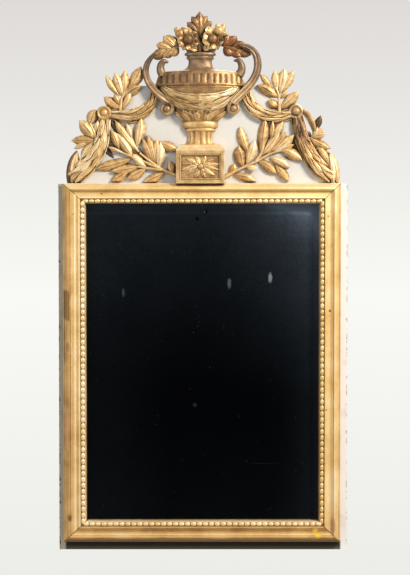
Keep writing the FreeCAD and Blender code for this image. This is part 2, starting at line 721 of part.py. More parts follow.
def urn_swag():
    """The laurel swag that lies on the bowl."""
    right_end = (SWAG_TOP_PX[-1], SWAG_BOTTOM_PX[0])
    left_end = (SWAG_BOTTOM_PX[-1], SWAG_TOP_PX[0])
    runs = (SWAG_TOP_PX, right_end, SWAG_BOTTOM_PX, left_end)
    reach = URN_BOWL_PX[1][0] * PX_ACROSS + SWAG_RISE + OVERRUN
    band = fretted(runs, FACE_Y, reach)
    outer = urn_section(URN_BOWL_PX, extra=SWAG_RISE)
    return main_solid(band.common(outer).cut(urn_section(URN_BOWL_PX)))


def pedestal():
    """The block under the urn, with its cap and a sunk panel in front."""
    left, right = spot(PEDESTAL_LEFT_PX, 0).x, spot(PEDESTAL_RIGHT_PX, 0).x
    top, cap_top = spot(0, PEDESTAL_TOP_PX).z, spot(0, CAP_TOP_PX).z
    body = block(left, right, FACE_Y, FACE_Y - PEDESTAL_D, TOP_Z, top)
    sunk = block(left + PANEL_BORDER, right - PANEL_BORDER, FACE_Y - PEDESTAL_D + PANEL_SINK,
                 FACE_Y - PEDESTAL_D - OVERRUN, TOP_Z + PANEL_BORDER, top - PANEL_BORDER)
    wide = Part.makePolygon([V(left, FACE_Y, top), V(right, FACE_Y, top), V(right, FACE_Y - PEDESTAL_D, top),
                             V(left, FACE_Y - PEDESTAL_D, top), V(left, FACE_Y, top)])
    inner_left, inner_right = left + CAP_INSET, right - CAP_INSET
    narrow = Part.makePolygon([V(inner_left, FACE_Y, cap_top), V(inner_right, FACE_Y, cap_top),
                               V(inner_right, FACE_Y - CAP_TOP_D, cap_top),
                               V(inner_left, FACE_Y - CAP_TOP_D, cap_top), V(inner_left, FACE_Y, cap_top)])
    cap = Part.makeLoft([wide, narrow], True, True)
    return main_solid(body.cut(sunk).fuse(cap))


def pedestal_rosette():
    """Pointed petals round a button, filling the pedestal's sunk panel."""
    left, right = spot(PEDESTAL_LEFT_PX, 0).x + PANEL_BORDER, spot(PEDESTAL_RIGHT_PX, 0).x - PANEL_BORDER
    low, high = TOP_Z + PANEL_BORDER, spot(0, PEDESTAL_TOP_PX).z - PANEL_BORDER
    y = FACE_Y - PEDESTAL_D + PANEL_SINK
    centre = V((left + right) / 2, y, (low + high) / 2)
    reach_x, reach_z = (right - left) / 2 - ROSETTE_GAP, (high - low) / 2 - ROSETTE_GAP
    petals = []
    for i in range(ROSETTE_PETALS):
        angle = 2 * math.pi * i / ROSETTE_PETALS
        tip = centre + V(reach_x * math.cos(angle), 0, reach_z * math.sin(angle))
        petals.append(ridged(centre, tip, ROSETTE_PETAL_W, ROSETTE_RISE))
    eye = rod(centre, centre - V(0, ROSETTE_RISE * ROSETTE_BUTTON_SHARE, 0), ROSETTE_BUTTON_D)
    return joined([eye] + petals)


def hanger_plate(side):
    """A strap screwed to the ground board, rolled into a knuckle for the ring."""
    x = side * HANGER_X
    back = -BATTEN_T
    half = HANGER_W / 2
    strap = block(x - half, x + half, back, back + HANGER_T, RING_Z, RING_Z + HANGER_L - half)
    end = rod(V(x, back, RING_Z + HANGER_L - half), V(x, back + HANGER_T, RING_Z + HANGER_L - half), HANGER_W)
    ends = V(x - KNUCKLE_L / 2, RING_Y, RING_Z), V(x + KNUCKLE_L / 2, RING_Y, RING_Z)
    knuckle = rod(ends[0], ends[1], 2 * KNUCKLE_R)
    bore = rod(ends[0] - V(OVERRUN, 0, 0), ends[1] + V(OVERRUN, 0, 0), RING_WIRE_D + 2 * FIT)
    plate = strap.fuse([end, knuckle]).cut(bore)
    return main_solid(plate.cut(hanger_screws(side, FIT)))


def hanger_screws(side, slack=0.0):
    """The two screws of one hanging plate, or their holes when slack is given."""
    y = HANGER_T - BATTEN_T
    low = RING_Z + HANGER_L - HANGER_W / 2 - HANGER_SCREW_PITCH
    heights = (low, low + HANGER_SCREW_PITCH)
    return [screw(side * HANGER_X, y, z, HANGER_SCREW_L, slack) for z in heights]


def hanger_ring(side):
    """A wire ring shaped like a D, hanging straight down from its knuckle."""
    x, y, z = side * HANGER_X, RING_Y, RING_Z
    w, c = RING_HALF_W, RING_CORNER_R
    sag = c - c * math.sqrt(0.5)
    low = z - RING_DROP + w
    corners = [V(x - w + c, y, z), V(x + w - c, y, z), V(x + w, y, z - c), V(x + w, y, low),
               V(x - w, y, low), V(x - w, y, z - c)]
    edges = [Part.makeLine(corners[0], corners[1]),
             Part.Arc(corners[1], V(x + w - sag, y, z - sag), corners[2]).toShape(),
             Part.makeLine(corners[2], corners[3]),
             Part.Arc(corners[3], V(x, y, low - w), corners[4]).toShape(),
             Part.makeLine(corners[4], corners[5]),
             Part.Arc(corners[5], V(x - w + sag, y, z - sag), corners[0]).toShape()]
    profile = Part.Wire(Part.makeCircle(RING_R, corners[0], V(1, 0, 0)))
    return Part.Wire(edges).makePipeShell([profile], True, False)


def save_carcass():
    """The painted back frame, its pegs, and the moulding with its beads."""
    holes = pegs(FIT) + nails(FIT)
    save("carcass_left_stile", main_solid(stile(-1, holes)))
    save("carcass_right_stile", main_solid(stile(1, holes)))
    top_tools = holes + dowels(FIT) + [batten(-1, JOINT_FIT), batten(1, JOINT_FIT)] + batten_screws(FIT)
    save("carcass_top_rail", rail(True, top_tools))
    save("carcass_bottom_rail", rail(False, holes))
    save("carcass_pegs", Part.makeCompound(pegs()))
    face = moulding_face()
    for name, corner, along, inward, length in members():
        member = mitred(face.extrude(V(length, 0, 0)), length)
        save("moulding_" + name, onto_frame(member, corner, along, inward))
        beads = mitred(bead_course(length), length)
        save("bead_strip_" + name, onto_frame(beads, corner, along, inward))


def save_glass():
    """The mirror plate and what holds it in from behind."""
    save("mirror_plate", mirror_plate())
    save("glazing_blocks", Part.makeCompound(glazing_blocks()))
    spans, low, high = board_edges()
    for name, (left, right) in zip(("left", "middle", "right"), spans):
        plank = block(left, right, -REBATE_D, -REBATE_D + BOARD_T, low, high)
        save("backboard_" + name, main_solid(plank.cut(nails(FIT))))
    save("backboard_nails", Part.makeCompound(nails()))


def save_crest_board():
    """The crest's ground board, its battens and fixings, and the hanging rings."""
    hanger_holes = hanger_screws(-1, FIT) + hanger_screws(1, FIT)
    panel = fretted(PANEL_RUNS_PX, -BATTEN_T, PANEL_T)
    save("crest_panel", main_solid(panel.cut(dowels(FIT) + batten_screws(FIT) + hanger_holes)))
    save("crest_dowels", Part.makeCompound(dowels()))
    save("batten_screws", Part.makeCompound(batten_screws()))
    save("hanger_screws", Part.makeCompound(hanger_screws(-1) + hanger_screws(1)))
    for name, side in (("left", -1), ("right", 1)):
        save("crest_batten_" + name, main_solid(batten(side).cut(batten_screws(FIT))))
        save("hanger_plate_" + name, hanger_plate(side))
        save("hanger_ring_" + name, hanger_ring(side))


def save_urn():
    """The urn on its pedestal. Returns plain blanks of it, which its neighbours are carved round."""
    sections = (
        ("urn_neck", URN_NECK_PX, None),
        ("urn_body", URN_BODY_PX, BODY_FLUTES),
        ("urn_bowl", URN_BOWL_PX, CUP_FLUTES),
        ("urn_foot", URN_FOOT_PX, FOOT_FLUTES),
    )
    blanks = [pedestal()]
    save("pedestal", blanks[0])
    save("pedestal_rosette", pedestal_rosette())
    for name, rows_px, flutes in sections:
        blank = urn_section(rows_px)
        cutters = ring_of_flutes(*flutes) if flutes else []
        save(name, flattened(main_solid(blank.cut(cutters)) if cutters else blank))
        blanks.append(flattened(blank))
    swag = flattened(urn_swag())
    save("urn_swag", swag)
    return blanks + [swag]


def save_carvings(urn):
    """Handles, garlands, flowers and leaves, each carved round the pieces in front of it."""
    handle_y = FACE_Y - HANDLE_OUT
    done = {}
    sides = (
        ("left", LEFT_HANDLE_PX, LEFT_HANDLE_D, HANDLE_ENDS_PX[0], LEFT_HORN_PX, BUTTONS_PX[0]),
        ("right", RIGHT_HANDLE_PX, RIGHT_HANDLE_D, HANDLE_ENDS_PX[1], RIGHT_HORN_PX, BUTTONS_PX[1]),
    )
    for side, route, thickness, volute, horn, boss in sides:
        handle = forward_of(joined([bent_rod(route, thickness, handle_y), dome(*volute, BUTTON_RISE)]))
        done["urn_handle_" + side] = carved_round(handle, urn)
        done["urn_horn_" + side] = carved_round(forward_of(bent_rod(horn, HORN_D, handle_y)), urn)
        done["garland_button_" + side] = button(*boss)
    garlands = (
        ("garland_upper_left", LEFT_UPPER_GARLAND_PX, UPPER_GARLAND_D),
        ("garland_upper_right", RIGHT_UPPER_GARLAND_PX, UPPER_GARLAND_D),
        ("garland_drop_left", LEFT_DROP_PX, DROP_GARLAND_D),
        ("garland_drop_right", RIGHT_DROP_PX, DROP_GARLAND_D),
    )
    for name, route, thickness in garlands:
        tube = forward_of(bent_rod(route, thickness, FACE_Y - GARLAND_FLAT))
        done[name] = carved_round(tube, urn + list(done.values()))
    blooms = (
        ("bouquet_flower_left", LEFT_FLOWER_PX, LEFT_BUDS_PX),
        ("bouquet_flower_right", RIGHT_FLOWER_PX, RIGHT_BUDS_PX),
    )
    for name, rose, buds in blooms:
        bloom = joined([flower(*rose)] + [dome(*bud, BLOOM_RISE) for bud in buds])
        done[name] = carved_round(bloom, urn + list(done.values()))
    sprays = (
        ("bouquet_top_leaf", BOUQUET_TOP_PX, (), ()),
        ("bouquet_leaves_left", LEFT_LEAVES_PX, (), ()),
        ("bouquet_leaves_right", RIGHT_LEAVES_PX, (), ()),
        ("upper_spray_left", LEFT_SPRAY_PX, LEFT_SPRAY_STEMS_PX, ()),
        ("upper_spray_right", RIGHT_SPRAY_PX, RIGHT_SPRAY_STEMS_PX, ()),
        ("outer_leaves_left", LEFT_OUTER_PX, LEFT_OUTER_STEMS_PX, ()),
        ("outer_leaves_right", RIGHT_OUTER_PX, RIGHT_OUTER_STEMS_PX, (RIGHT_STRAP_PX,)),
        ("laurel_branch_left", LEFT_LAUREL_PX, LEFT_LAUREL_STEMS_PX, ()),
        ("laurel_branch_right", RIGHT_LAUREL_PX, RIGHT_LAUREL_STEMS_PX, ()),
    )
    for name, leaves, stems, straps in sprays:
        done[name] = carved_round(forward_of(spray(leaves, stems, straps)), urn + list(done.values()))
    for name, outline in (("corner_leaf_left", LEFT_CORNER_PX), ("corner_leaf_right", RIGHT_CORNER_PX)):
        done[name] = carved_round(fretted(outline, FACE_Y, CORNER_LEAF_T), list(done.values()))
    for name, shape in done.items():
        save(name, shape)


os.makedirs("parts", exist_ok=True)
save_carcass()
save_glass()
save_crest_board()
save_carvings(save_urn())
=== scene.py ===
# %% [markdown]
# # A carved and gilded wall mirror
# The looking-glass hangs in a moulded, beaded frame under a carved crest. An urn stands on a
# pedestal in the middle of the crest, with flowers in it, and laurel grows on both sides.
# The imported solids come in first, as a fixed frame to build round. Boards, rails and ironwork
# keep their solids and take a finish. Carving is all soft, uneven shapes, so each family of
# carved pieces is made anew in a cell of its own.

import math
import random

import bmesh
import bpy
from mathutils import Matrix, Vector, noise


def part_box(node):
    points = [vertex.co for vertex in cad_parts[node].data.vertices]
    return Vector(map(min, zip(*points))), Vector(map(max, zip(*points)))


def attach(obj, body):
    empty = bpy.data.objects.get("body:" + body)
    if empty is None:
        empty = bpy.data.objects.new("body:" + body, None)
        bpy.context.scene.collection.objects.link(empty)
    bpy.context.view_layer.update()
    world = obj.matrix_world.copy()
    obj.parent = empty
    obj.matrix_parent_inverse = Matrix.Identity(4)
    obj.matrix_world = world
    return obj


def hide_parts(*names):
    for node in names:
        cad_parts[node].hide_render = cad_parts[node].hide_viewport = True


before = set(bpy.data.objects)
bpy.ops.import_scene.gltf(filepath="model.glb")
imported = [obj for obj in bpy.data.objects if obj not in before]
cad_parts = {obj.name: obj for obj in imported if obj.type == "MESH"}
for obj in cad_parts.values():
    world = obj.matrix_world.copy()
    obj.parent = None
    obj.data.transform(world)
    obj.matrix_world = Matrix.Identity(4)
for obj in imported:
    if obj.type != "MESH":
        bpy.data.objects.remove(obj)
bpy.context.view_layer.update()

# %% [markdown]
# ## One scale for everything
# Hand carving is irregular, so its shapes were drawn over the photograph. They could be traced
# on a picture plane in the viewport, but then each would float at a depth of its own. Here a
# place in the crest is two pixel numbers and a rise in millimetres in front of the ground board,
# and one function turns these into metres, so every piece lies on the board that carries it.

# %% Units, and a place in the crest
MM = 0.001
PIXEL = 1.8989 * MM
CENTRE_PX, BASE_PX = 203.2, 183.6
TIP_PX = (199.5, 13.5)
RAIL_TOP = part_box("carcass_top_rail")[1].z
GROUND_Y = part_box("crest_panel")[0].y


def spot(px, py, rise=0.0):
    """The place of a pixel of the crest, that many millimetres in front of its ground board."""
    return Vector(((px - CENTRE_PX) * PIXEL, GROUND_Y - rise * MM, RAIL_TOP + (BASE_PX - py) * PIXEL))


print("top of the crest:", spot(*TIP_PX))

# %% [markdown]
# ## The camera
# The moulding is drawn almost without perspective, so the lens is long and stands well back. A
# wide lens close up would show the inner sides of the rails. The camera's height and tilt were
# solved from the frame's four corners and the tip of the crest.

# %% Camera
CAMERA_BACK, CAMERA_SIDE, CAMERA_HEIGHT = 2.9, 0.0037, -0.0777
TILT_DOWN = math.radians(2.015)
FOCAL_PX, IMAGE_W = 1512.2, 410
SENSOR_MM = 36.0

camera = bpy.data.objects.new("camera", bpy.data.cameras.new("camera"))
bpy.context.scene.collection.objects.link(camera)
camera.location = (CAMERA_SIDE, -CAMERA_BACK, CAMERA_HEIGHT)
camera.rotation_euler = (math.pi / 2 - TILT_DOWN, 0, 0)
camera.data.sensor_fit = "HORIZONTAL"
camera.data.sensor_width = SENSOR_MM
camera.data.lens = SENSOR_MM * FOCAL_PX / IMAGE_W
bpy.context.scene.camera = camera
bpy.context.scene.view_settings.view_transform = "Standard"
print("lens in millimetres:", round(camera.data.lens, 1))

# %% [markdown]
# ## Colours and nodes
# A colour is written as it looks on a screen, in hex, and Blender reckons in linear light, so one
# function turns one into the other. Materials could be wired by hand in the Shader Editor. Here
# one function adds any node with its settings and links, so a finish reads from top to bottom as
# the list of what its surface is made of.

# %% Helpers for materials
# A colour Mix node has several inputs of one name, so its share and two colours go by number.
SHARE, FROM, TO = 0, 6, 7


def colour(code, alpha=1.0):
    """An sRGB hex colour as linear light."""
    parts = [int(code[i:i + 2], 16) / 255 for i in (1, 3, 5)]
    return tuple(p / 12.92 if p <= 0.04045 else ((p + 0.055) / 1.055) ** 2.4 for p in parts) + (alpha,)


def wire(tree, node, inputs):
    """Set a node's inputs. Each takes a value, one output of a node, or a node's first output in use."""
    for key, value in inputs.items():
        if isinstance(value, bpy.types.Node):
            value = next(output for output in value.outputs if output.enabled)
        if isinstance(value, bpy.types.NodeSocket):
            tree.links.new(value, node.inputs[key])
        else:
            node.inputs[key].default_value = value
    return node


def add(tree, kind, inputs=None, **settings):
    """Add a node with its settings and links."""
    node = tree.nodes.new("ShaderNode" + kind)
    for key, value in settings.items():
        setattr(node, key, value)
    return wire(tree, node, inputs or {})


def new_material(name):
    """A material, its node tree and its Principled shader."""
    material = bpy.data.materials.new(name)
    material.use_nodes = True
    return material, material.node_tree, material.node_tree.nodes["Principled BSDF"]


print("gold as linear light:", [round(part, 3) for part in colour("#E8C27C")])

# %% [markdown]
# ## The floor
# The mirror hangs, so the floor lies about a metre below it and is seen only from above. A plain
# disc is enough. Matt white floor paint is never quite even, so a wide, faint mottle tints it.

# %% Floor
FLOOR_Z, FLOOR_R, FLOOR_SIDES = -1.65, 2.1, 64
MOTTLE_MM = 1000 / 3

floor_mesh = bpy.data.meshes.new("floor")
turns = [2 * math.pi * i / FLOOR_SIDES for i in range(FLOOR_SIDES)]
rim = [(FLOOR_R * math.cos(turn), FLOOR_R * math.sin(turn), FLOOR_Z) for turn in turns]
floor_mesh.from_pydata(rim, [], [list(range(FLOOR_SIDES))])
floor = bpy.data.objects.new("floor", floor_mesh)
bpy.context.scene.collection.objects.link(floor)
floor_paint, tree, shader = new_material("matt_white_floor_paint")
mottle = add(tree, "TexNoise", {"Scale": 1 / (MOTTLE_MM * MM), "Detail": 3.0})
tint = add(tree, "Mix", {SHARE: mottle, FROM: colour("#CFCECB"), TO: colour("#DAD9D6")}, data_type="RGBA")
wire(tree, shader, {"Base Color": tint, "Roughness": 0.7})
floor_mesh.materials.append(floor_paint)
print("floor below the frame's origin, in metres:", -FLOOR_Z)

# %% [markdown]
# ## The backdrop
# Behind the mirror is a pale grey that darkens upward. A wall could stand there, but it would
# catch the lamps unevenly and hide the back. So the backdrop is the world itself: the camera and
# reflections see the pale grey, and the object is lit by a softer light that grows stronger
# toward the upper right, which keeps the carving's shadows soft.

# %% World
WORLD_DIM, WORLD_BRIGHT = 0.18, 0.62
LIGHT_SIDE = (0.45, -0.2, 0.87)
# The backdrop changes between these heights of a direction of length 1.
PALE_LOW, PALE_HIGH, GREY_HIGH = -0.22, -0.04, 0.15

world = bpy.data.worlds.new("studio")
bpy.context.scene.world = world
world.use_nodes = True
tree = world.node_tree
tree.nodes.clear()
direction = add(tree, "TexCoord").outputs["Generated"]
height = add(tree, "SeparateXYZ", {0: direction}).outputs["Z"]
lower = add(tree, "MapRange", {"Value": height, "From Min": PALE_LOW, "From Max": PALE_HIGH})
upper = add(tree, "MapRange", {"Value": height, "From Min": PALE_HIGH, "From Max": GREY_HIGH})
below = add(tree, "Mix", {SHARE: lower, FROM: colour("#ECEDE8"), TO: colour("#F9FAF5")}, data_type="RGBA")
above = add(tree, "Mix", {SHARE: upper, FROM: below, TO: colour("#DFDBD8")}, data_type="RGBA")
backdrop = add(tree, "Background", {"Color": above, "Strength": 1.0})
toward = add(tree, "VectorMath", {0: direction, 1: LIGHT_SIDE}, operation="DOT_PRODUCT")
softness = add(tree, "MapRange", {"Value": toward, "From Min": -1.0,
                                  "To Min": WORLD_DIM, "To Max": WORLD_BRIGHT})
soft_light = add(tree, "Background", {"Color": colour("#F6F4F0"), "Strength": softness})
rays = add(tree, "LightPath").outputs
seen = add(tree, "Math", {0: rays["Is Camera Ray"], 1: rays["Is Transmission Ray"]}, operation="MAXIMUM")
seen = add(tree, "Math", {0: seen, 1: rays["Is Glossy Ray"]}, operation="MAXIMUM")
either = add(tree, "MixShader", {0: seen, 1: soft_light, 2: backdrop})
add(tree, "OutputWorld", {"Surface": either})
print("soft light from", WORLD_DIM, "to", WORLD_BRIGHT)

# %% [markdown]
# ## The lamps
# The photograph's shadows fall to the lower left and are gentle. One small sun would cut them
# hard, so a soft lamp stands high on the right, a weaker and cooler one fills from the left, and
# a third lights the back for the other views.

# %% Lamps
LAMP_AIM = Vector((0, 0, -0.1))
# Name, place and size in metres, power in watts, and colour.
LAMPS = (
    ("lamp_right", (1.45, -1.4, 1.2), 0.5, 72.0, "#FFF7EA"),
    ("lamp_left", (-1.9, -1.9, 0.5), 1.2, 18.0, "#F1F5FF"),
    ("lamp_behind", (0.6, 2.4, 1.6), 1.6, 40.0, "#FFFFFF"),
)
for name, place, size, power, tint in LAMPS:
    lamp = bpy.data.objects.new(name, bpy.data.lights.new(name, "AREA"))
    bpy.context.scene.collection.objects.link(lamp)
    lamp.location = place
    lamp.rotation_euler = (LAMP_AIM - Vector(place)).to_track_quat("-Z", "Y").to_euler()
    lamp.data.size = size
    lamp.data.energy = power
    lamp.data.color = colour(tint)[:3]
print("lamps:", [row[0] for row in LAMPS])

# %% [markdown]
# ## Something dark to reflect
# A looking-glass shows what stands before it, and an all-white studio would fill it with white.
# A photographer hangs black cloth behind the camera. So does this scene, on a card that only
# reflections see, so that it takes no light off the mirror.

# %% Dark card behind the camera
CARD_Y, CARD_HALF_W, CARD_HALF_H = -4.2, 1.5, 1.6
CARD_CORNERS = ((-1, -1), (1, -1), (1, 1), (-1, 1))
WEAVE_MM = 500

card_mesh = bpy.data.meshes.new("dark_card")
card_points = [(sx * CARD_HALF_W, CARD_Y, sz * CARD_HALF_H + CAMERA_HEIGHT) for sx, sz in CARD_CORNERS]
card_mesh.from_pydata(card_points, [], [(0, 1, 2, 3)])
card = bpy.data.objects.new("dark_card", card_mesh)
bpy.context.scene.collection.objects.link(card)
for ray in ("camera", "diffuse", "shadow", "transmission"):
    setattr(card, "visible_" + ray, False)
card_cloth, tree, shader = new_material("black_studio_cloth")
weave = add(tree, "TexNoise", {"Scale": 1 / (WEAVE_MM * MM)})
tint = add(tree, "Mix", {SHARE: weave, FROM: colour("#020304"), TO: colour("#0A0D12")}, data_type="RGBA")
wire(tree, shader, {"Base Color": tint, "Roughness": 1.0})
card_mesh.materials.append(card_cloth)
print("dark card, width and height in metres:", 2 * CARD_HALF_W, 2 * CARD_HALF_H)

# %% [markdown]
# ## Marks
# Old surfaces carry single marks that noise would never put in the right place: a knot, a dab of
# newer gold, a nick, a rubbed spot. They could be painted on an image. A few ovals worked out
# from the object's own coordinates do the same, need no image, and a fine noise tears their edge.

# %% Marks on a surface
MARK_STRENGTH, MARK_RAGGED, MARK_FADE = 0.85, 0.9, 1.5


def spotted(tree, place, ground, marks, ragged):
    """A colour with marks on it.

    Each mark is how far across and up, half its width and height, all in millimetres, and a hex code.
    """
    for x, z, half_w, half_h, code in marks:
        to_middle = (-x * MM, 0, -z * MM)
        to_round = (1 / (half_w * MM), 0, 1 / (half_h * MM))
        moved = add(tree, "VectorMath", {0: place, 1: to_middle}, operation="ADD")
        squeezed = add(tree, "VectorMath", {0: moved, 1: to_round}, operation="MULTIPLY")
        reach = add(tree, "VectorMath", {0: squeezed}, operation="LENGTH")
        torn = add(tree, "Math", {0: ragged, 1: MARK_RAGGED, 2: reach}, operation="MULTIPLY_ADD")
        mark = add(tree, "MapRange", {"Value": torn, "From Min": 1.0, "From Max": MARK_FADE,
                                      "To Min": MARK_STRENGTH, "To Max": 0.0})
        ground = add(tree, "Mix", {SHARE: mark, FROM: ground, TO: colour(code)}, data_type="RGBA")
    return ground


print("a mark fades out at", MARK_FADE, "times its size")

# %% [markdown]
# ## Gilding
# Water gilding is beaten gold laid on a red clay called bole, over white gesso on the wood. A
# plain yellow metal would look like brass: gold leaf is a film over chalk, so it shines softly
# and takes a diffuse share too. Long dusting rubs it pale on what stands proud, and a painted
# highlight lightens it there too; dirt and painted shade brown the hollows, and clay or bare gesso
# shows where the leaf has gone. No two leaves of the carving have aged alike, and many tones also
# paint light and shade, so each mesh stores a tone for every point: below zero it is brown, above
# zero it is pale. Ambient occlusion finds the hollows, and with Inside on, it finds the proud edges.

# %% Gilding
RUB_MM, PROUD_MM, HOLLOW_MM = 2.4, 1.6, 7.0
# How much each noise clouds the tone, and the tones at the two ends of the gold's colours.
RUB_CLOUD, PATCH_CLOUD = 0.8, 1.3
TONE_LOW, TONE_HIGH = 0.12, 2.12
# The noise at which clay or bare gesso starts to show, and how soon it shows fully.
CLAY_AT, CLAY_EDGE, CLAY_MOST = 1.26, 0.10, 0.8
CHIP_AT, CHIP_EDGE, GESSO = 0.70, 0.04, "#E9DCC4"


def gilding(name, gold, hollow_dirt_and_shade, clay_code, clay_share, chip_share, patch_mm, marks=(), metal=0.45):
    """Aged water gilding. The shares say how much clay and how much bare gesso shows."""
    material, tree, shader = new_material(name)
    place = add(tree, "TexCoord").outputs["Object"]
    patches = add(tree, "TexNoise", {"Vector": place, "Scale": 1 / (patch_mm * MM), "Detail": 4.0})
    fine = add(tree, "TexNoise", {"Vector": place, "Scale": 1 / (RUB_MM * MM), "Detail": 4.0,
                                  "Roughness": 0.7})

    tone = add(tree, "Attribute", attribute_name="tone").outputs["Fac"]
    # Proud edges are made paler: rubbed wear, and a painted highlight.
    inner = add(tree, "AmbientOcclusion", {"Distance": PROUD_MM * MM}, samples=6, inside=True).outputs["AO"]
    proud = add(tree, "MapRange", {"Value": inner, "From Min": 0.35, "From Max": 0.8,
                                   "To Min": 0.3, "To Max": 0.0})
    cloud = add(tree, "Math", {0: fine, 1: RUB_CLOUD, 2: tone}, operation="MULTIPLY_ADD")
    cloud = add(tree, "Math", {0: patches, 1: PATCH_CLOUD, 2: cloud}, operation="MULTIPLY_ADD")
    age = add(tree, "Math", {0: cloud, 1: proud}, operation="ADD")
    paleness = add(tree, "MapRange", {"Value": age, "From Min": TONE_LOW, "From Max": TONE_HIGH})
    leafed = add(tree, "ValToRGB", {0: paleness})
    stops = leafed.color_ramp.elements
    for share, _ in gold[1:-1]:
        stops.new(share)
    for stop, (share, code) in zip(stops, gold):
        stop.position = share
        stop.color = colour(code)

    # Dirt and painted shade: ambient occlusion browns the hollows toward the hollow colour.
    sky = add(tree, "AmbientOcclusion", {"Distance": HOLLOW_MM * MM}, samples=8).outputs["AO"]
    open_air = add(tree, "MapRange", {"Value": sky, "From Min": 0.22, "From Max": 0.78})
    shaded = add(tree, "Mix", {SHARE: open_air, FROM: colour(hollow_dirt_and_shade), TO: leafed}, data_type="RGBA")
    rubbed = add(tree, "Math", {0: patches, 1: fine}, operation="ADD")
    clay_at, chip_at = CLAY_AT - clay_share, CHIP_AT + chip_share
    clay = add(tree, "MapRange", {"Value": rubbed, "From Min": clay_at, "From Max": clay_at + CLAY_EDGE,
                                  "To Max": CLAY_MOST})
    worn = add(tree, "Mix", {SHARE: clay, FROM: shaded, TO: colour(clay_code)}, data_type="RGBA")
    bare = add(tree, "MapRange", {"Value": rubbed, "From Min": chip_at, "From Max": chip_at - CHIP_EDGE})
    chipped = add(tree, "Mix", {SHARE: bare, FROM: worn, TO: colour(GESSO)}, data_type="RGBA")
    lost = add(tree, "Math", {0: clay, 1: bare}, operation="MAXIMUM")
    wire(tree, shader, {
        "Base Color": spotted(tree, place, chipped, marks, fine),
        "Metallic": add(tree, "MapRange", {"Value": lost, "To Min": metal, "To Max": 0.02}),
        "Roughness": add(tree, "MapRange", {"Value": fine, "To Min": 0.34, "To Max": 0.58}),
        "Normal": add(tree, "Bump", {"Height": rubbed, "Distance": 0.4 * MM, "Strength": 0.6}),
    })
    return material


print("wear shows as patches of", RUB_MM, "mm and more")

# %% [markdown]
# ## Four gildings
# The same recipe serves all the gold. The carving's gold is brown in its depths, with dirt and
# painted shade. The moulding's is yellower and cleaner, because flat wood is easily dusted. On the
# handles, horns and neck it is rubbed through to a grey brown, and on one cluster of leaves the red
# bole shows everywhere.

# %% The four gildings
# The colours from the brownest tone to the palest, with their places as shares.
GOLD = ((0.0, "#5A442D"), (0.25, "#99744A"), (0.5, "#CFA96F"), (0.75, "#EBD0A2"), (1.0, "#F9ECD2"))
FRAME_GOLD = ((0.0, "#8C6839"), (0.25, "#BB9258"), (0.5, "#DEB673"), (0.75, "#F0D298"), (1.0, "#FAE9C8"))
RUBBED_GOLD = ((0.0, "#4E3F33"), (0.25, "#77604A"), (0.5, "#A48560"), (0.75, "#CFAE7E"), (1.0, "#E9D3AA"))
RED_GOLD = ((0.0, "#3C2416"), (0.25, "#643F27"), (0.5, "#8C5F3C"), (0.75, "#B98B57"), (1.0, "#E0BC86"))
FRAME_MARKS = (
    # A knot that shows through, and two dabs of newer gold.
    (-252.7, -615.7, 5, 8, "#6E4A26"), (212.8, -640.5, 6, 6, "#F2CC3A"), (218.5, -650.0, 7, 5, "#F2CC3A"),
    # Nicks and fly spots.
    (240.0, -222.4, 2.6, 3.6, "#4A3216"), (-191.2, -0.9, 2.4, 1.8, "#5A3E1E"),
    (-244.8, -39.5, 1.8, 1.8, "#5E4322"), (236.1, -43.8, 2.2, 2.6, "#8A6636"),
    (233.0, -410.0, 1.8, 2.2, "#7A5A30"),
    # Places rubbed down to the clay.
    (246.8, -630.0, 6, 20, "#B98A62"), (-256.0, -290.0, 4, 12, "#9A7040"), (-257.7, -136.6, 3, 34, "#C8906C"),
    (-256.8, -450.0, 3, 55, "#C8906C"),
)
bright_gilding = gilding("water_gilding_carving", GOLD, "#33200F", "#8A5630",
                         clay_share=-0.02, chip_share=-0.06, patch_mm=14)
frame_gilding = gilding("water_gilding_moulding", FRAME_GOLD, "#836232", "#A87A4C",
                        clay_share=-0.04, chip_share=-0.08, patch_mm=30, marks=FRAME_MARKS, metal=0.5)
rubbed_gilding = gilding("water_gilding_rubbed", RUBBED_GOLD, "#2A1C12", "#6A4A34",
                         clay_share=0.04, chip_share=0.0, patch_mm=12)
bole_gilding = gilding("water_gilding_over_bole", RED_GOLD, "#2C140A", "#6E3418",
                       clay_share=0.06, chip_share=-0.08, patch_mm=10)
print("gildings:", [m.name for m in (bright_gilding, frame_gilding, rubbed_gilding, bole_gilding)])

# %% [markdown]
# ## Bare wood
# The hidden pieces are planed softwood and riven oak pegs, never painted. Wood's figure is made
# of rings drawn out along the tree. A Wave texture gives rings that are too even, so this is
# noise, stretched along the grain, and it also raises the surface a little, as old wood is.

# %% Bare wood
# The stretch along the grain is a share of the noise's own scale.
GRAIN_SHARE = 0.06


def grained(tree, place, light, dark, ring_mm):
    """The colour and the relief of bare wood with its grain along Z."""
    drawn = add(tree, "Mapping", {"Vector": place, "Scale": (1, 1, GRAIN_SHARE)})
    grain = add(tree, "TexNoise", {"Vector": drawn, "Scale": 1 / (ring_mm * MM), "Detail": 6.0,
                                   "Distortion": 0.6})
    band = add(tree, "MapRange", {"Value": grain, "From Min": 0.3, "From Max": 0.7})
    return add(tree, "Mix", {SHARE: band, FROM: colour(dark), TO: colour(light)}, data_type="RGBA"), grain


def wood(name, light, dark, ring_mm, roughness):
    """Bare old wood, dull and brown with age."""
    material, tree, shader = new_material(name)
    tint, grain = grained(tree, add(tree, "TexCoord").outputs["Object"], light, dark, ring_mm)
    relief = add(tree, "Bump", {"Height": grain, "Distance": 0.4 * MM, "Strength": 0.5})
    wire(tree, shader, {"Base Color": tint, "Roughness": roughness, "Normal": relief})
    return material


SPRUCE_LIGHT, SPRUCE_DARK, SPRUCE_RING_MM = "#A98560", "#6E5138", 3.0
backing_wood = wood("aged_spruce", SPRUCE_LIGHT, SPRUCE_DARK, SPRUCE_RING_MM, 0.75)
peg_wood = wood("aged_oak", "#8A6743", "#553B24", 1.5, 0.65)
print("woods:", backing_wood.name, peg_wood.name)
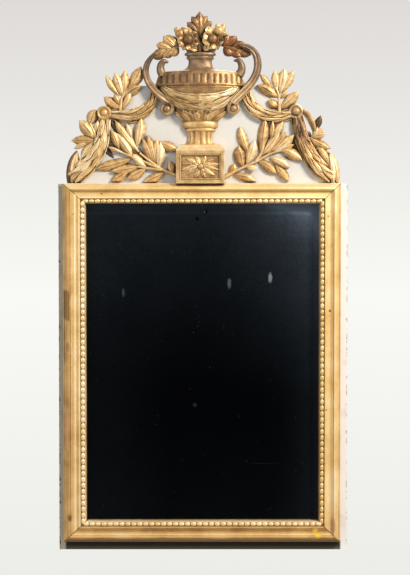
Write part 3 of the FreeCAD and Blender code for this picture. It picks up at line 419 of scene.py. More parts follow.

# %% [markdown]
# ## Distemper
# The carcass and the crest's ground are spruce under cream distemper, chalk bound with glue size.
# It is quite matt, stains in clouds and takes dirt where dust settles. One flat cream would look
# like plastic, so it is built as its history: clean paint, then stains, then grime in the
# corners, darkened further by painted shade, which also falls round the carving on the ground.
# The backs were never painted, and the side that a face looks to tells which they are.

# %% Distemper
STAIN_MM, GRIT_MM, GRIME_SHADE_MM = 45, 1.6, 7


def distemper(name, clean, stained, grime_and_shade, stain_share, chips=None):
    """Chalky matt paint, darkened in corners by grime and painted shade. With chips, a hex code, the
    carcass's edges are worn, and its ledge takes soot and a painted shadow too.
    """
    material, tree, shader = new_material(name)
    place = add(tree, "TexCoord").outputs["Object"]
    clouds = add(tree, "TexNoise", {"Vector": place, "Scale": 1 / (STAIN_MM * MM), "Detail": 5.0,
                                    "Roughness": 0.62})
    grit = add(tree, "TexNoise", {"Vector": place, "Scale": 1 / (GRIT_MM * MM), "Detail": 2.0})
    stain = add(tree, "MapRange", {"Value": clouds, "From Min": 0.66 - stain_share, "From Max": 0.86})
    tinted = add(tree, "Mix", {SHARE: stain, FROM: colour(clean), TO: colour(stained)}, data_type="RGBA")
    # Grime and painted shade: ambient occlusion darkens corners and the ground under the carving.
    sky = add(tree, "AmbientOcclusion", {"Distance": GRIME_SHADE_MM * MM}, samples=8).outputs["AO"]
    open_air = add(tree, "MapRange", {"Value": sky, "From Min": 0.05, "From Max": 0.55})
    paint = add(tree, "Mix", {SHARE: open_air, FROM: colour(grime_and_shade), TO: tinted}, data_type="RGBA")
    if chips:
        paint = worn_edges(tree, place, paint, chips)
    facing = add(tree, "SeparateXYZ", {0: add(tree, "TexCoord").outputs["Normal"]}).outputs["Y"]
    backward = add(tree, "MapRange", {"Value": facing, "From Min": 0.5, "From Max": 0.6})
    bare, _ = grained(tree, place, SPRUCE_LIGHT, SPRUCE_DARK, SPRUCE_RING_MM)
    wire(tree, shader, {
        "Base Color": add(tree, "Mix", {SHARE: backward, FROM: paint, TO: bare}, data_type="RGBA"),
        "Roughness": 0.82,
        "Normal": add(tree, "Bump", {"Height": grit, "Distance": 0.2 * MM, "Strength": 0.4}),
    })
    return material


ground_paint = distemper("cream_distemper_ground", "#CCCAC5", "#C9BDA9", "#7E6C52", 0.06)
print("paint of the crest's ground:", ground_paint.name)

# %% [markdown]
# ## The carcass's worn edges
# The carcass shows as a strip beside and below the moulding. Its front arris is chipped where
# the mirror was carried and leant, and the ledge under the moulding is black: soot, with the
# moulding's shadow painted on it, darkest right under the moulding. Both follow the shape, so they
# are worked out from distances to its edges, and noise tears them.

# %% Carcass paint
CARCASS_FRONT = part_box("carcass_left_stile")[0].y / MM
CARCASS_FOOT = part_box("carcass_bottom_rail")[0].z / MM
CARCASS_HALF_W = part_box("carcass_right_stile")[1].x / MM
CHIP_MM = 9
# In millimetres: how far chips reach in from the side, and wear back from the front.
CHIP_REACH, WEAR_DEEP, WEAR_SHALLOW = 5.0, 3.5, 1.0
# The painted shadow and soot: its upper edge and its fading, up from the foot, and its two ends, in from the
# side.
SHADOW_SOOT_TOP, SHADOW_SOOT_FADE_TOP, SHADOW_SOOT_FADE_FOOT, SHADOW_SOOT_END, SHADOW_SOOT_FULL = 18.5, 8.0, 1.0, 10.5, 13.5


def worn_edges(tree, place, paint, chip_code):
    """Chips along the carcass's front arris, and soot with a painted shadow on the ledge at its foot."""
    axes = add(tree, "SeparateXYZ", {0: place}).outputs
    aside = add(tree, "Math", {0: axes["X"]}, operation="ABSOLUTE")
    ragged = add(tree, "TexNoise", {"Vector": place, "Scale": 1 / (CHIP_MM * MM), "Detail": 3.0})
    near_edge = add(tree, "MapRange", {"Value": aside, "From Min": (CARCASS_HALF_W - CHIP_REACH) * MM,
                                       "From Max": CARCASS_HALF_W * MM, "To Max": 0.34})
    loose = add(tree, "Math", {0: ragged, 1: near_edge}, operation="ADD")
    flaked = add(tree, "MapRange", {"Value": loose, "From Min": 0.80, "From Max": 0.86})
    front = add(tree, "MapRange", {"Value": axes["Y"], "From Min": (CARCASS_FRONT + WEAR_DEEP) * MM,
                                   "From Max": (CARCASS_FRONT + WEAR_SHALLOW) * MM})
    chipped = add(tree, "Math", {0: flaked, 1: front}, operation="MULTIPLY")
    paint = add(tree, "Mix", {SHARE: chipped, FROM: paint, TO: colour(chip_code)}, data_type="RGBA")
    under = add(tree, "MapRange", {"Value": axes["Z"], "From Min": (CARCASS_FOOT + SHADOW_SOOT_TOP) * MM,
                                   "From Max": (CARCASS_FOOT + SHADOW_SOOT_TOP - 1) * MM})
    behind = add(tree, "MapRange", {"Value": aside, "From Min": (CARCASS_HALF_W - SHADOW_SOOT_END) * MM,
                                    "From Max": (CARCASS_HALF_W - SHADOW_SOOT_FULL) * MM})
    fading = add(tree, "MapRange", {"Value": axes["Z"], "From Min": (CARCASS_FOOT + SHADOW_SOOT_FADE_TOP) * MM,
                                    "From Max": (CARCASS_FOOT + SHADOW_SOOT_FADE_FOOT) * MM})
    # Soot with a painted shadow: darkest under the moulding, paler toward the foot.
    soot_and_shadow = add(tree, "Mix", {SHARE: fading, FROM: colour("#1A1109"), TO: colour("#5A5344")}, data_type="RGBA")
    ledge = add(tree, "Math", {0: under, 1: behind}, operation="MULTIPLY")
    sooty_and_shadowed = add(tree, "Math", {0: ledge, 1: front}, operation="MULTIPLY")
    return add(tree, "Mix", {SHARE: sooty_and_shadowed, FROM: paint, TO: soot_and_shadow}, data_type="RGBA")


carcass_paint = distemper("cream_distemper_carcass", "#E9E4E3", "#C8BBA8", "#6A5C48", 0.10, "#B4AA9A")
# A greyer copy of the carcass paint: painted shade for the left stile and the foot, which lie in the
# moulding's shadow.
shaded_grey_paint = distemper("shaded_grey_distemper_carcass", "#B3AB97", "#8A8069", "#3E362A", 0.18, "#3C382F")
print("carcass, from its foot to the moulding's ledge:", SHADOW_SOOT_TOP, "mm")

# %% [markdown]
# ## Iron and steel
# Hangers and nails are forged iron, dark and rusted in scabs. The screws are old steel, greyer
# and a little shinier. Rust is no metal to the eye, so stained patches are rougher and browner,
# and the scale of the patches is that of the forge's scale, a few millimetres.

# %% Iron and steel


def metal(name, clean, stained, roughness, scab_mm):
    """Old metal, dull and stained."""
    material, tree, shader = new_material(name)
    place = add(tree, "TexCoord").outputs["Object"]
    scale = add(tree, "TexNoise", {"Vector": place, "Scale": 1 / (scab_mm * MM), "Detail": 4.0})
    patch = add(tree, "MapRange", {"Value": scale, "From Min": 0.45, "From Max": 0.65})
    tint = add(tree, "Mix", {SHARE: patch, FROM: colour(clean), TO: colour(stained)}, data_type="RGBA")
    wire(tree, shader, {
        "Base Color": tint,
        "Metallic": 0.9,
        "Roughness": add(tree, "MapRange", {"Value": patch, "To Min": roughness, "To Max": roughness + 0.25}),
        "Normal": add(tree, "Bump", {"Height": scale, "Distance": 0.15 * MM, "Strength": 0.5}),
    })
    return material


wrought_iron = metal("forged_iron", "#3A3634", "#5A3A28", 0.5, 2.5)
screw_steel = metal("dull_steel", "#7D7A74", "#5E5246", 0.35, 1.5)
print("metals:", wrought_iron.name, screw_steel.name)

# %% [markdown]
# ## The looking-glass
# The plate is old silvering, tin and mercury, behind glass. A perfect mirror would be Metallic 1
# and Roughness 0. This one reflects a part only: its near-black colour paints the dark studio that
# a mirror shows, and a bluish haze veils it.
# The haze is one sum: a broad cloud toward the upper right, a denser band near the right and the
# top edge, and a faint rest at the left and the foot. Noise breaks it up. Where the moulding's
# shadow falls on the plate, along the right and the top, the haze is brightened further: painted
# light that fills that shadow.

# %% Haze on the plate
CLOUD_MM, DUST_MM = 1000 / 9, 3

mirror_glass, tree, shader = new_material("old_silvered_glass")
place = add(tree, "TexCoord").outputs["Object"]
axes = add(tree, "SeparateXYZ", {0: place}).outputs
cloud = add(tree, "TexNoise", {"Vector": place, "Scale": 1 / (CLOUD_MM * MM), "Detail": 6.0,
                               "Roughness": 0.65})
dust = add(tree, "TexNoise", {"Vector": place, "Scale": 1 / (DUST_MM * MM), "Detail": 2.0})
# How far a place is toward the right, the left, the top and the foot, from 0 to 1.
across = add(tree, "MapRange", {"Value": axes["X"], "From Min": -0.02, "From Max": 0.222})
leftward = add(tree, "MapRange", {"Value": axes["X"], "From Min": -0.06, "From Max": -0.222})
up = add(tree, "MapRange", {"Value": axes["Z"], "From Min": -0.45, "From Max": 0.0})
down = add(tree, "MapRange", {"Value": axes["Z"], "From Min": -0.38, "From Max": -0.64})
up_squared = add(tree, "Math", {0: up, 1: 2.0}, operation="POWER")
across_squared = add(tree, "Math", {0: across, 1: 2.0}, operation="POWER")
corner = add(tree, "Math", {0: across_squared, 1: up_squared}, operation="MULTIPLY")
upper = add(tree, "Math", {0: up_squared, 1: 0.067}, operation="MULTIPLY")
broad = add(tree, "Math", {0: corner, 1: 0.22, 2: upper}, operation="MULTIPLY_ADD")
top_edge = add(tree, "Math", {0: up, 1: 16.0}, operation="POWER")
thick = add(tree, "Math", {0: top_edge, 1: 4.6, 2: 0.055}, operation="MULTIPLY_ADD")
right_edge = add(tree, "Math", {0: across, 1: 7.0}, operation="POWER")
edged = add(tree, "Math", {0: right_edge, 1: thick, 2: broad}, operation="MULTIPLY_ADD")
footed = add(tree, "Math", {0: down, 1: 0.011, 2: edged}, operation="MULTIPLY_ADD")
haze = add(tree, "Math", {0: leftward, 1: 0.016, 2: footed}, operation="MULTIPLY_ADD")
broken = add(tree, "Math", {0: cloud, 1: dust}, operation="ADD")
haze = add(tree, "Math", {0: haze, 1: broken}, operation="MULTIPLY")
# Painted light: the haze is brightened where the moulding casts its shadow on the plate, at the right and
# under the top rail.
shadow_fill_right = add(tree, "MapRange", {"Value": axes["X"], "From Min": 0.202, "From Max": 0.213,
                                "To Min": 1.0, "To Max": 1.8})
haze = add(tree, "Math", {0: haze, 1: shadow_fill_right}, operation="MULTIPLY")
under = add(tree, "MapRange", {"Value": axes["Z"], "From Min": -0.042, "From Max": -0.026,
                               "To Min": 1.0, "To Max": 3.6})
haze = add(tree, "Math", {0: haze, 1: under}, operation="MULTIPLY")
# The plate's near-black colour is a painted reflection of a dark room.
veil = add(tree, "Mix", {SHARE: haze, FROM: colour("#050608"), TO: colour("#889BB0")}, data_type="RGBA")
print("haze made of", len(tree.nodes), "nodes")

# %% [markdown]
# The silvering has also gone in fine specks, scattered unevenly. A texture of cells gives one
# point to each cell, and a slow noise lets only some of them show. The largest marks are placed
# one by one.

# %% Specks and marks on the plate
SPECK_CELL_MM, SPECK_GROUP_MM = 14, 30
GLASS_MARKS = (
    # Three rubbed places.
    (-151.4, -188.9, 3.8, 9.0, "#4C545A"), (50.0, -170.9, 4.0, 11.0, "#6A7278"),
    (127.9, -160.4, 4.2, 11.0, "#A4ACB2"),
    # A blot where the silvering has gone, with a painted glint of light in it, and a smaller one.
    (5.0, -35.0, 4.5, 6.0, "#020304"), (3.0, -35.0, 2.2, 3.0, "#5A6268"), (-11.0, -48.0, 4.0, 4.0, "#020304"),
    # A dot and a scratch.
    (-15.5, -402.6, 4.4, 4.4, "#34383C"), (117.0, -515.0, 38.0, 1.0, "#1C2024"),
)
cells = add(tree, "TexVoronoi", {"Vector": place, "Scale": 1 / (SPECK_CELL_MM * MM)})
speck = add(tree, "MapRange", {"Value": cells, "From Min": 0.10, "From Max": 0.05})
groups = add(tree, "TexNoise", {"Vector": place, "Scale": 1 / (SPECK_GROUP_MM * MM), "Detail": 2.0})
few = add(tree, "MapRange", {"Value": groups, "From Min": 0.42, "From Max": 0.66, "To Max": 0.16})
shown = add(tree, "Math", {0: speck, 1: few}, operation="MULTIPLY")
specked = add(tree, "Mix", {SHARE: shown, FROM: veil, TO: colour("#8E9498")}, data_type="RGBA")
wire(tree, shader, {
    "Base Color": spotted(tree, place, specked, GLASS_MARKS, dust),
    "Metallic": 0.55,
    "Roughness": add(tree, "MapRange", {"Value": cloud, "To Min": 0.04, "To Max": 0.12}),
    "Specular IOR Level": 0.35,
})
print("marks on the plate:", len(GLASS_MARKS))

# %% [markdown]
# ## Dressing the plain pieces
# Boards, rails, pegs, nails, screws and hangers have their right shape already. They could be
# bevelled here, but their arrises are sharp on the real thing too, so they keep their solids and
# only take a finish.

# %% Finishes for pieces that keep their solids
BACKBOARDS = ("backboard_left", "backboard_middle", "backboard_right")
BATTENS = ("crest_batten_left", "crest_batten_right")
HANGERS = ("hanger_plate_left", "hanger_plate_right", "hanger_ring_left", "hanger_ring_right")
KEPT = (
    (carcass_paint, ("carcass_right_stile", "carcass_top_rail")),
    # The left stile and the foot take the greyer copy, which is painted shade.
    (shaded_grey_paint, ("carcass_left_stile", "carcass_bottom_rail")),
    (ground_paint, ("crest_panel",)),
    (backing_wood, BACKBOARDS + BATTENS + ("glazing_blocks",)),
    (peg_wood, ("carcass_pegs", "crest_dowels")),
    (mirror_glass, ("mirror_plate",)),
    (wrought_iron, HANGERS + ("backboard_nails",)),
    (screw_steel, ("batten_screws", "hanger_screws")),
)
for material, nodes in KEPT:
    for node in nodes:
        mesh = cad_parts[node].data
        mesh.materials.clear()
        mesh.materials.append(material)
print("solids kept:", sum(len(nodes) for _, nodes in KEPT))

# %% [markdown]
# ## Building a carved piece
# A carved piece is many closed shapes gathered in one mesh, each with its own tone. Sculpting by
# hand would give no two runs alike, and a displaced plane has no undercut, so the shapes are
# skinned from rings of points. Carving has both soft swells and crisp edges, so faces are smooth
# and only steep creases stay sharp.

# %% Gather shapes into one piece
CREASE = math.radians(38)


def face_outward(mesh):
    """Turn all faces outward."""
    work = bmesh.new()
    work.from_mesh(mesh)
    bmesh.ops.recalc_face_normals(work, faces=work.faces)
    work.to_mesh(mesh)
    work.free()


class Carving:
    """Collects closed shapes, and makes one piece of them."""

    def __init__(self):
        self.points, self.faces, self.tones = [], [], []

    def shape(self, points, faces, tone=0.0):
        """Add one closed shape. The tone is one number, or a list with one for each point."""
        start = len(self.points)
        self.points += points
        self.faces += [[start + i for i in face] for face in faces]
        self.tones += tone if isinstance(tone, list) else [tone] * len(points)

    def loft(self, rings, tone=0.0):
        """Skin closed rings of points, and close both ends."""
        count = len(rings[0])
        faces = []
        for row in range(len(rings) - 1):
            a, b = row * count, (row + 1) * count
            faces += [[a + i, a + (i + 1) % count, b + (i + 1) % count, b + i] for i in range(count)]
        faces.append(list(range(count))[::-1])
        last = (len(rings) - 1) * count
        faces.append([last + i for i in range(count)])
        self.shape([p for ring in rings for p in ring], faces, tone)

    def finish(self, name, material, node):
        """One object that stands for this node."""
        mesh = bpy.data.meshes.new(name)
        mesh.from_pydata(self.points, [], self.faces)
        mesh.validate()
        tone = mesh.attributes.new("tone", "FLOAT", "POINT")
        tone.data.foreach_set("value", self.tones)
        face_outward(mesh)
        mesh.shade_smooth()
        mesh.set_sharp_from_angle(angle=CREASE)
        mesh.materials.append(material)
        piece = bpy.data.objects.new(name, mesh)
        bpy.context.scene.collection.objects.link(piece)
        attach(piece, "frame")
        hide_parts(node)
        print(name, len(mesh.polygons), "faces")


print("creases sharper than", round(math.degrees(CREASE)), "degrees stay sharp")

# %% [markdown]
# ## The moulding's section
# A moulding is cut with shaped planes, so it is one section run along each side. From outside in
# it has a fillet, a swelling band, a sharp crease, a cove, the seat of the beads and a bevel at
# the glass. A bevelled curve could sweep it at one width, but these four rails differ. Here a
# function places any point of the section on any side, so that unequal rails meet in a mitre.

# %% The moulding's section and its four rails
HALF_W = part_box("moulding_right")[1].x / MM
FRAME_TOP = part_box("moulding_top")[1].z / MM
FRAME_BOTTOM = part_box("moulding_bottom")[0].z / MM
SECTION_W = 41
# How far inward, how far in front of the carcass, in millimetres, and the tone, which paints shade in the
# crease and the beads' seat and highlights on the ridges.
SECTION = (
    (0, 0, -0.6), (0, 13.6, -0.5), (0.4, 15.0, -0.2), (1.6, 15.9, 0.0), (2.3, 15.6, -0.2),
    (3.0, 16.8, 0.0), (4.4, 19.4, 0.0), (6.2, 21.6, 0.0), (8.2, 23.0, 0.1), (10.2, 23.7, 0.2),
    (11.8, 24.0, 0.4), (12.8, 23.9, 0.4), (13.4, 23.2, -0.1), (13.9, 21.8, -0.6), (14.3, 21.6, -0.1),
    (15.2, 21.6, 0.4), (15.7, 21.2, 0.2), (16.2, 19.9, -0.5), (16.8, 18.9, 0.0), (19.0, 18.3, 0.1),
    (21.6, 18.4, 0.1), (24.2, 19.5, 0.1), (26.6, 21.0, 0.2), (28.4, 22.3, 0.3), (29.4, 22.7, 0.4),
    (30.4, 22.6, 0.0), (31.0, 22.0, -0.3), (31.2, 20.6, -1.3), (38.6, 20.4, -1.2), (38.9, 21.0, 0.2),
    (39.3, 20.6, 0.4), (40.7, 14.6, 0.3), (41, 13.2, -0.2), (41, 0, -0.8),
)
# The rails are hand-planed, so each has its own width and stands a little off its solid.
RAIL_W = {"left": 43.4, "right": 40.5, "top": 38.5, "bottom": 40.2}
LEFT_X, RIGHT_X = -HALF_W - 1.7, HALF_W - 3.1
TOP_Z, BOTTOM_Z = FRAME_TOP + 0.6, FRAME_BOTTOM + 0.4
WIDTH, HEIGHT = RIGHT_X - LEFT_X, TOP_Z - BOTTOM_Z
# For each side: its first corner, its way, the way inward, its length, and the sides before and after it.
SIDES = {
    "bottom": (Vector((LEFT_X, BOTTOM_Z)), Vector((1, 0)), Vector((0, 1)), WIDTH, "left", "right"),
    "right": (Vector((RIGHT_X, BOTTOM_Z)), Vector((0, 1)), Vector((-1, 0)), HEIGHT, "bottom", "top"),
    "top": (Vector((RIGHT_X, TOP_Z)), Vector((-1, 0)), Vector((0, -1)), WIDTH, "right", "left"),
    "left": (Vector((LEFT_X, TOP_Z)), Vector((0, -1)), Vector((1, 0)), HEIGHT, "top", "bottom"),
}


def on_side(side, along, inward, out):
    """A place on one side of the frame, from millimetres along it, inward, and in front of the carcass."""
    corner, way, in_way, *_ = SIDES[side]
    flat = corner + way * along + in_way * (inward * RAIL_W[side] / SECTION_W)
    return Vector((flat.x, CARCASS_FRONT - out, flat.y)) * MM


def mitred_span(side, inward):
    """Where the side starts and ends at this distance inward, so that it meets its neighbours."""
    _, _, _, length, before, after = SIDES[side]
    return inward * RAIL_W[before] / SECTION_W, length - inward * RAIL_W[after] / SECTION_W


print("moulding, width and height in millimetres:", round(WIDTH, 1), round(HEIGHT, 1))

# %% [markdown]
# ## How the moulding has aged
# Hands and dust have aged each rail in its own way, in stripes along it. Noise alone makes
# blotches, so each rail has a row of tones across its width, and a few rubbed places. The rows also
# paint the light and shade that each side gets: the top rail's outer band paler, the bottom rail's
# darker.

# %% Ageing of the moulding
# A tone to add at so many millimetres inward, for wear and for painted light and shade.
AGED_AND_LIT = {
    "left": (
        (0, 0.0), (4, -0.2), (8, -0.65), (13, -0.65), (17, 0.1), (20.0, 0.0), (20.8, 0.9), (21.8, 0.8),
        (22.6, 0.1), (26.5, -0.3), (28.4, -0.2), (29.4, 0.3), (30.4, 0.6), (38, 0.3),
    ),
    "right": (
        (0, -0.1), (4, 0.25), (9, 0.0), (13.2, 0.3), (14.0, -0.7), (14.8, 0.5), (17, 0.5), (20, 0.1),
        (25, 0.3), (29, -0.1), (31, 0.0), (34, -0.5), (41, -0.5),
    ),
    "top": (
        (0, 1.2), (3, 0.8), (7, 0.2), (13, 0.0), (17, -0.1), (20, 0.1), (24, 0.2), (28, 0.6), (31, 0.2),
        (34, -0.1), (38, -0.4), (41, -0.5),
    ),
    "bottom": (
        (0, -1.1), (5, -1.1), (8, -0.9), (11, -0.2), (13, -0.1), (15, 0.4), (18, 0.3), (20, -0.55),
        (28, -0.75), (31, 0.2), (38, 0.3), (41, 0.6),
    ),
}
# Where the gold is rubbed down: side, from and to along it, from and to inward, and the drop in tone.
RUBS = (("left", 204, 258, 1, 12.6, 1.1), ("left", 258, 345, 2.4, 4.4, 0.9), ("bottom", 470, 482, 3, 9, -0.5))


def rubbed_away(side, along, inward):
    """How much the tone drops here."""
    return sum(drop for where, start, end, near, far, drop in RUBS
               if where == side and start < along < end and near < inward < far)


def aged_and_lit(side, inward):
    """The tone that age and painted light and shade add here."""
    rows = AGED_AND_LIT[side]
    for (u0, t0), (u1, t1) in zip(rows, rows[1:]):
        if u0 <= inward <= u1:
            return t0 + (t1 - t0) * (inward - u0) / (u1 - u0)
    return rows[-1][1]


print("tone added in the middle of each rail:", {side: round(aged_and_lit(side, SECTION_W / 2), 2) for side in SIDES})

# %% [markdown]
# ## The four mouldings
# Each rail is its own piece of wood, cut at 45 degrees or nearly so, and the mitre is darkened:
# dirt, with painted shade in the narrow gap. The rings stand a few millimetres apart, and a slight
# wander of each, from noise in real space, keeps the rail from looking machined.

# %% Mouldings
STATION, MITRE_GAP, MITRE_DARK_W, MITRE_DIRT_AND_SHADE = 9.0, 0.3, 1.1, 1.6
# The wander of the surface in millimetres, the drift of the tone, and both noises' scales per metre.
WANDER, WANDER_SCALE = 0.25, 35
DRIFT, DRIFT_SCALE = 0.25, 14


def moulding(side):
    """One mitred rail."""
    rail = Carving()
    length = SIDES[side][3]
    count = round(length / STATION)
    shares = [k / count for k in range(1, count)]
    shares = [0, MITRE_DARK_W / length, *shares, 1 - MITRE_DARK_W / length, 1]
    rings, tones = [], []
    for share in shares:
        ring = []
        for inward, out, tone in SECTION:
            first, last = mitred_span(side, inward)
            along = first + MITRE_GAP + (last - first - 2 * MITRE_GAP) * share
            place = on_side(side, along, inward, 0)
            wander = noise.noise(place * WANDER_SCALE) * WANDER if out > 1 else 0
            ring.append(on_side(side, along, inward, out + wander))
            tone += aged_and_lit(side, inward) + DRIFT * noise.noise(place * DRIFT_SCALE)
            # The end rings at each mitre are darkened: dirt, and painted shade in the gap.
            mitre_dark = MITRE_DIRT_AND_SHADE if share in (0, 1) else 0
            tones.append(tone - rubbed_away(side, along, inward) - mitre_dark)
        rings.append(ring)
    rail.loft(rings, tones)
    rail.finish("gilt_moulding_" + side, frame_gilding, "moulding_" + side)


for side in SIDES:
    moulding(side)

# %% [markdown]
# ## The beads
# The beads are carved in one string, half buried in their seat: ovals with a dark gap between, deepened by
# painted shade in the seat.
# An array of one bead would repeat it exactly. Each of these is half an egg of rings of points, a
# little different from the next, because a chisel shaped it.

# %% Beads
BEAD_U, BEAD_SEAT_H, BEAD_PITCH = 35.5, 20.2, 11.3
BEAD_HALF_L, BEAD_HALF_W, BEAD_H = 5.5, 3.8, 2.4
# Each rail's beads take their own tone: painted light and shade for the way light falls on that side.
BEAD_LIT_TONES = {"left": 0.7, "right": 0.15, "top": 0.4, "bottom": 0.5}
BEAD_ROWS, BEAD_SPOKES = 5, 14
bead_dice = random.Random(7)


def bead(carving, side, along, half_l, half_w, height, tone):
    """Half an egg on the bead seat."""
    points, faces = [], []
    for row in range(BEAD_ROWS):
        turn = math.pi / 2 * row / BEAD_ROWS
        for spoke in range(BEAD_SPOKES):
            angle = 2 * math.pi * spoke / BEAD_SPOKES
            points.append(on_side(side, along + half_l * math.cos(turn) * math.cos(angle),
                                  BEAD_U + half_w * math.cos(turn) * math.sin(angle),
                                  BEAD_SEAT_H + height * math.sin(turn)))
    points.append(on_side(side, along, BEAD_U, BEAD_SEAT_H + height))
    around = [(i, (i + 1) % BEAD_SPOKES) for i in range(BEAD_SPOKES)]
    for row in range(BEAD_ROWS - 1):
        low, high = row * BEAD_SPOKES, (row + 1) * BEAD_SPOKES
        faces += [[low + i, low + j, high + j, high + i] for i, j in around]
    top = (BEAD_ROWS - 1) * BEAD_SPOKES
    faces += [[top + i, top + j, BEAD_ROWS * BEAD_SPOKES] for i, j in around]
    faces.append(list(range(BEAD_SPOKES))[::-1])
    carving.shape(points, faces, tone)


for side in SIDES:
    string = Carving()
    first, last = mitred_span(side, BEAD_U)
    count = round((last - first) / BEAD_PITCH)
    for i in range(count):
        along = first + (last - first) * (i + 0.5) / count
        bead(string, side, along, BEAD_HALF_L * bead_dice.uniform(0.95, 1.05),
             BEAD_HALF_W * bead_dice.uniform(0.96, 1.02), BEAD_H * bead_dice.uniform(0.94, 1.04),
             BEAD_LIT_TONES[side] + bead_dice.uniform(-0.12, 0.12))
    string.finish("beads_" + side, frame_gilding, "bead_strip_" + side)

# %% [markdown]
# ## The curves of a leaf
# A laurel leaf is narrow at its root, widest a little past its middle and pointed, and it arches
# up and down again on its way. Such curves could be drawn by hand in a curve widget. As small
# functions of how far along the leaf a place is, they serve every leaf, and the stems and ropes.

# %% Curves along a leaf


def eased(low, middle, high, share):
    """A smooth run from the first value to the last, drawn toward the middle one."""
    return low * (1 - share) ** 2 + 2 * middle * share * (1 - share) + high * share ** 2


def between(values, share):
    """The value at a share of the way through a row of values."""
    position = min(max(share, 0), 1) * (len(values) - 1)
    low = min(int(position), len(values) - 2)
    return values[low] + (values[low + 1] - values[low]) * (position - low)


def fullness(share, blunt, neck=0.14):
    """How wide a leaf is at a share of its length from the root, where 1 is its widest."""
    swelling = math.sin(math.pi * share ** 1.12) ** (blunt + 0.35 * share ** 3) if 0 < share < 1 else 0
    return max(swelling, neck * (1 - share), 0.04)


print("half way along, a leaf has this share of its width:", round(fullness(0.5, 0.7), 2))

# %% [markdown]
# ## A leaf
# A laurel leaf in the crest is a long oval with a sunk midrib. Its two halves swell and then
# slope apart like a low roof, so one catches the light and the other doesn't, and its edge stands
# clear of the ground and is cut away beneath, which gives the dark line under it. Its tones add
# painted shade on the underside, the rim and the midrib, and a painted highlight beside the rib.
# A flat card with a bump map would have none of that from the side. Here a ring of points across
# the leaf is moved from root to tip, which makes a closed shape with all of it.

# %% Leaf
STATIONS = 15
ACROSS = (-1, -0.9, -0.66, -0.38, -0.15, 0, 0.15, 0.38, 0.66, 0.9, 1)
# The roof's slope is a share of the half width. The others are in millimetres, but for the rib's half width.
ROOF, SWELL, RIB_DEPTH, RIB_HALF, EDGE_T, SUNK = 0.72, 0.8, 0.7, 0.12, 1.3, 0.5
# Painted shade darkens the leaf's rim, its underside and its midrib, and a painted highlight lightens the
# halves beside the rib.
VEIN_TONE, EDGE_SHADE_TONE, UNDER_EDGE_SHADE_TONE = 0.26, -0.6, -0.8
RIB_LIGHT_AND_SHADE = {0: -0.5, 0.15: 0.15, 0.38: 0.15, 0.9: -0.1, 1: -0.5}
leaf_dice = random.Random(3)


def leaf(carving, tip, root, width, bend=0.0, rise=(2.5, 11.0, 6.0), tone=0.0, ground=0.0, blunt=0.7,
         roof=ROOF, tilt=None):
    """A carved leaf. Tip, root, width and bend are in pixels, and the three rises in millimetres."""
    root, tip = Vector(root), Vector(tip)
    run = tip - root
    side = Vector((-run.y, run.x)).normalized()
    half_mm = width / 2 * PIXEL / MM
    lean = leaf_dice.uniform(-0.3, 0.3) if tilt is None else tilt
    rings, tones = [], []
    for k in range(STATIONS):
        t = k / (STATIONS - 1)
        centre = root + run * t + side * bend * 4 * t * (1 - t)
        slant = (run + side * bend * 4 * (1 - 2 * t)).normalized()
        normal = Vector((-slant.y, slant.x))
        share = fullness(t, blunt)
        height = eased(*rise, t)

        def at(v, h):
            """A place that far across the leaf, at that height."""
            flat = centre + normal * (width / 2 * share * v)
            return spot(flat.x, flat.y, ground + max(h, -SUNK))

        def top(v):
            """The height of the leaf's upper face that far across."""
            rib = -RIB_DEPTH * max(0, 1 - abs(v) / RIB_HALF) * min(1, 3 * (1 - t))
            swell = SWELL * math.sin(math.pi * min(1, abs(v) * 1.1)) * share
            return height + half_mm * share * (lean * v - roof * abs(v) ** 1.4) + rib + swell

        ring = [at(v, top(v)) for v in ACROSS]
        ring += [at(0.9, top(1) - EDGE_T), at(0.5, -SUNK), at(-0.5, -SUNK), at(-0.9, top(-1) - EDGE_T)]
        rings.append(ring)
        for v in ACROSS:
            vein = VEIN_TONE * math.sin(2.3 * k - 3 * abs(v)) * abs(v)
            tones.append(tone + RIB_LIGHT_AND_SHADE.get(abs(v), 0) + vein)
        tones += [tone + drop for drop in (EDGE_SHADE_TONE, UNDER_EDGE_SHADE_TONE, UNDER_EDGE_SHADE_TONE, EDGE_SHADE_TONE)]
    carving.loft(rings, tones)


print("points in a leaf:", STATIONS * (len(ACROSS) + 4))

# %% [markdown]
# ## A stem
# Leaves sit on round twigs, and the urn's handles are reeded bands. Both are a tube along a
# smooth line. A Curve object with a bevel can taper, but it can't carry a tone for each point or
# reeds on its front alone, so the tube is skinned ring by ring.

# %% Stem
ROUTE_STEPS = 8
# Reeds are painted paler on their ridges and darker in their valleys: painted light and shade.
REED, REED_LIGHT_AND_SHADE = 0.16, 2.4


def smooth_route(points, steps=ROUTE_STEPS):
    """Points along a smooth curve that passes through the given ones."""
    points = [Vector(p) for p in points]
    ends = [2 * points[0] - points[1]] + points + [2 * points[-1] - points[-2]]
    found = []
    for a, b, c, d in zip(ends, ends[1:], ends[2:], ends[3:]):
        for i in range(steps):
            t = i / steps
            bent = 2 * b + (c - a) * t + (2 * a - 5 * b + 4 * c - d) * t ** 2
            found.append(0.5 * (bent + (3 * b - a - 3 * c + d) * t ** 3))
    found.append(points[-1])
    return found


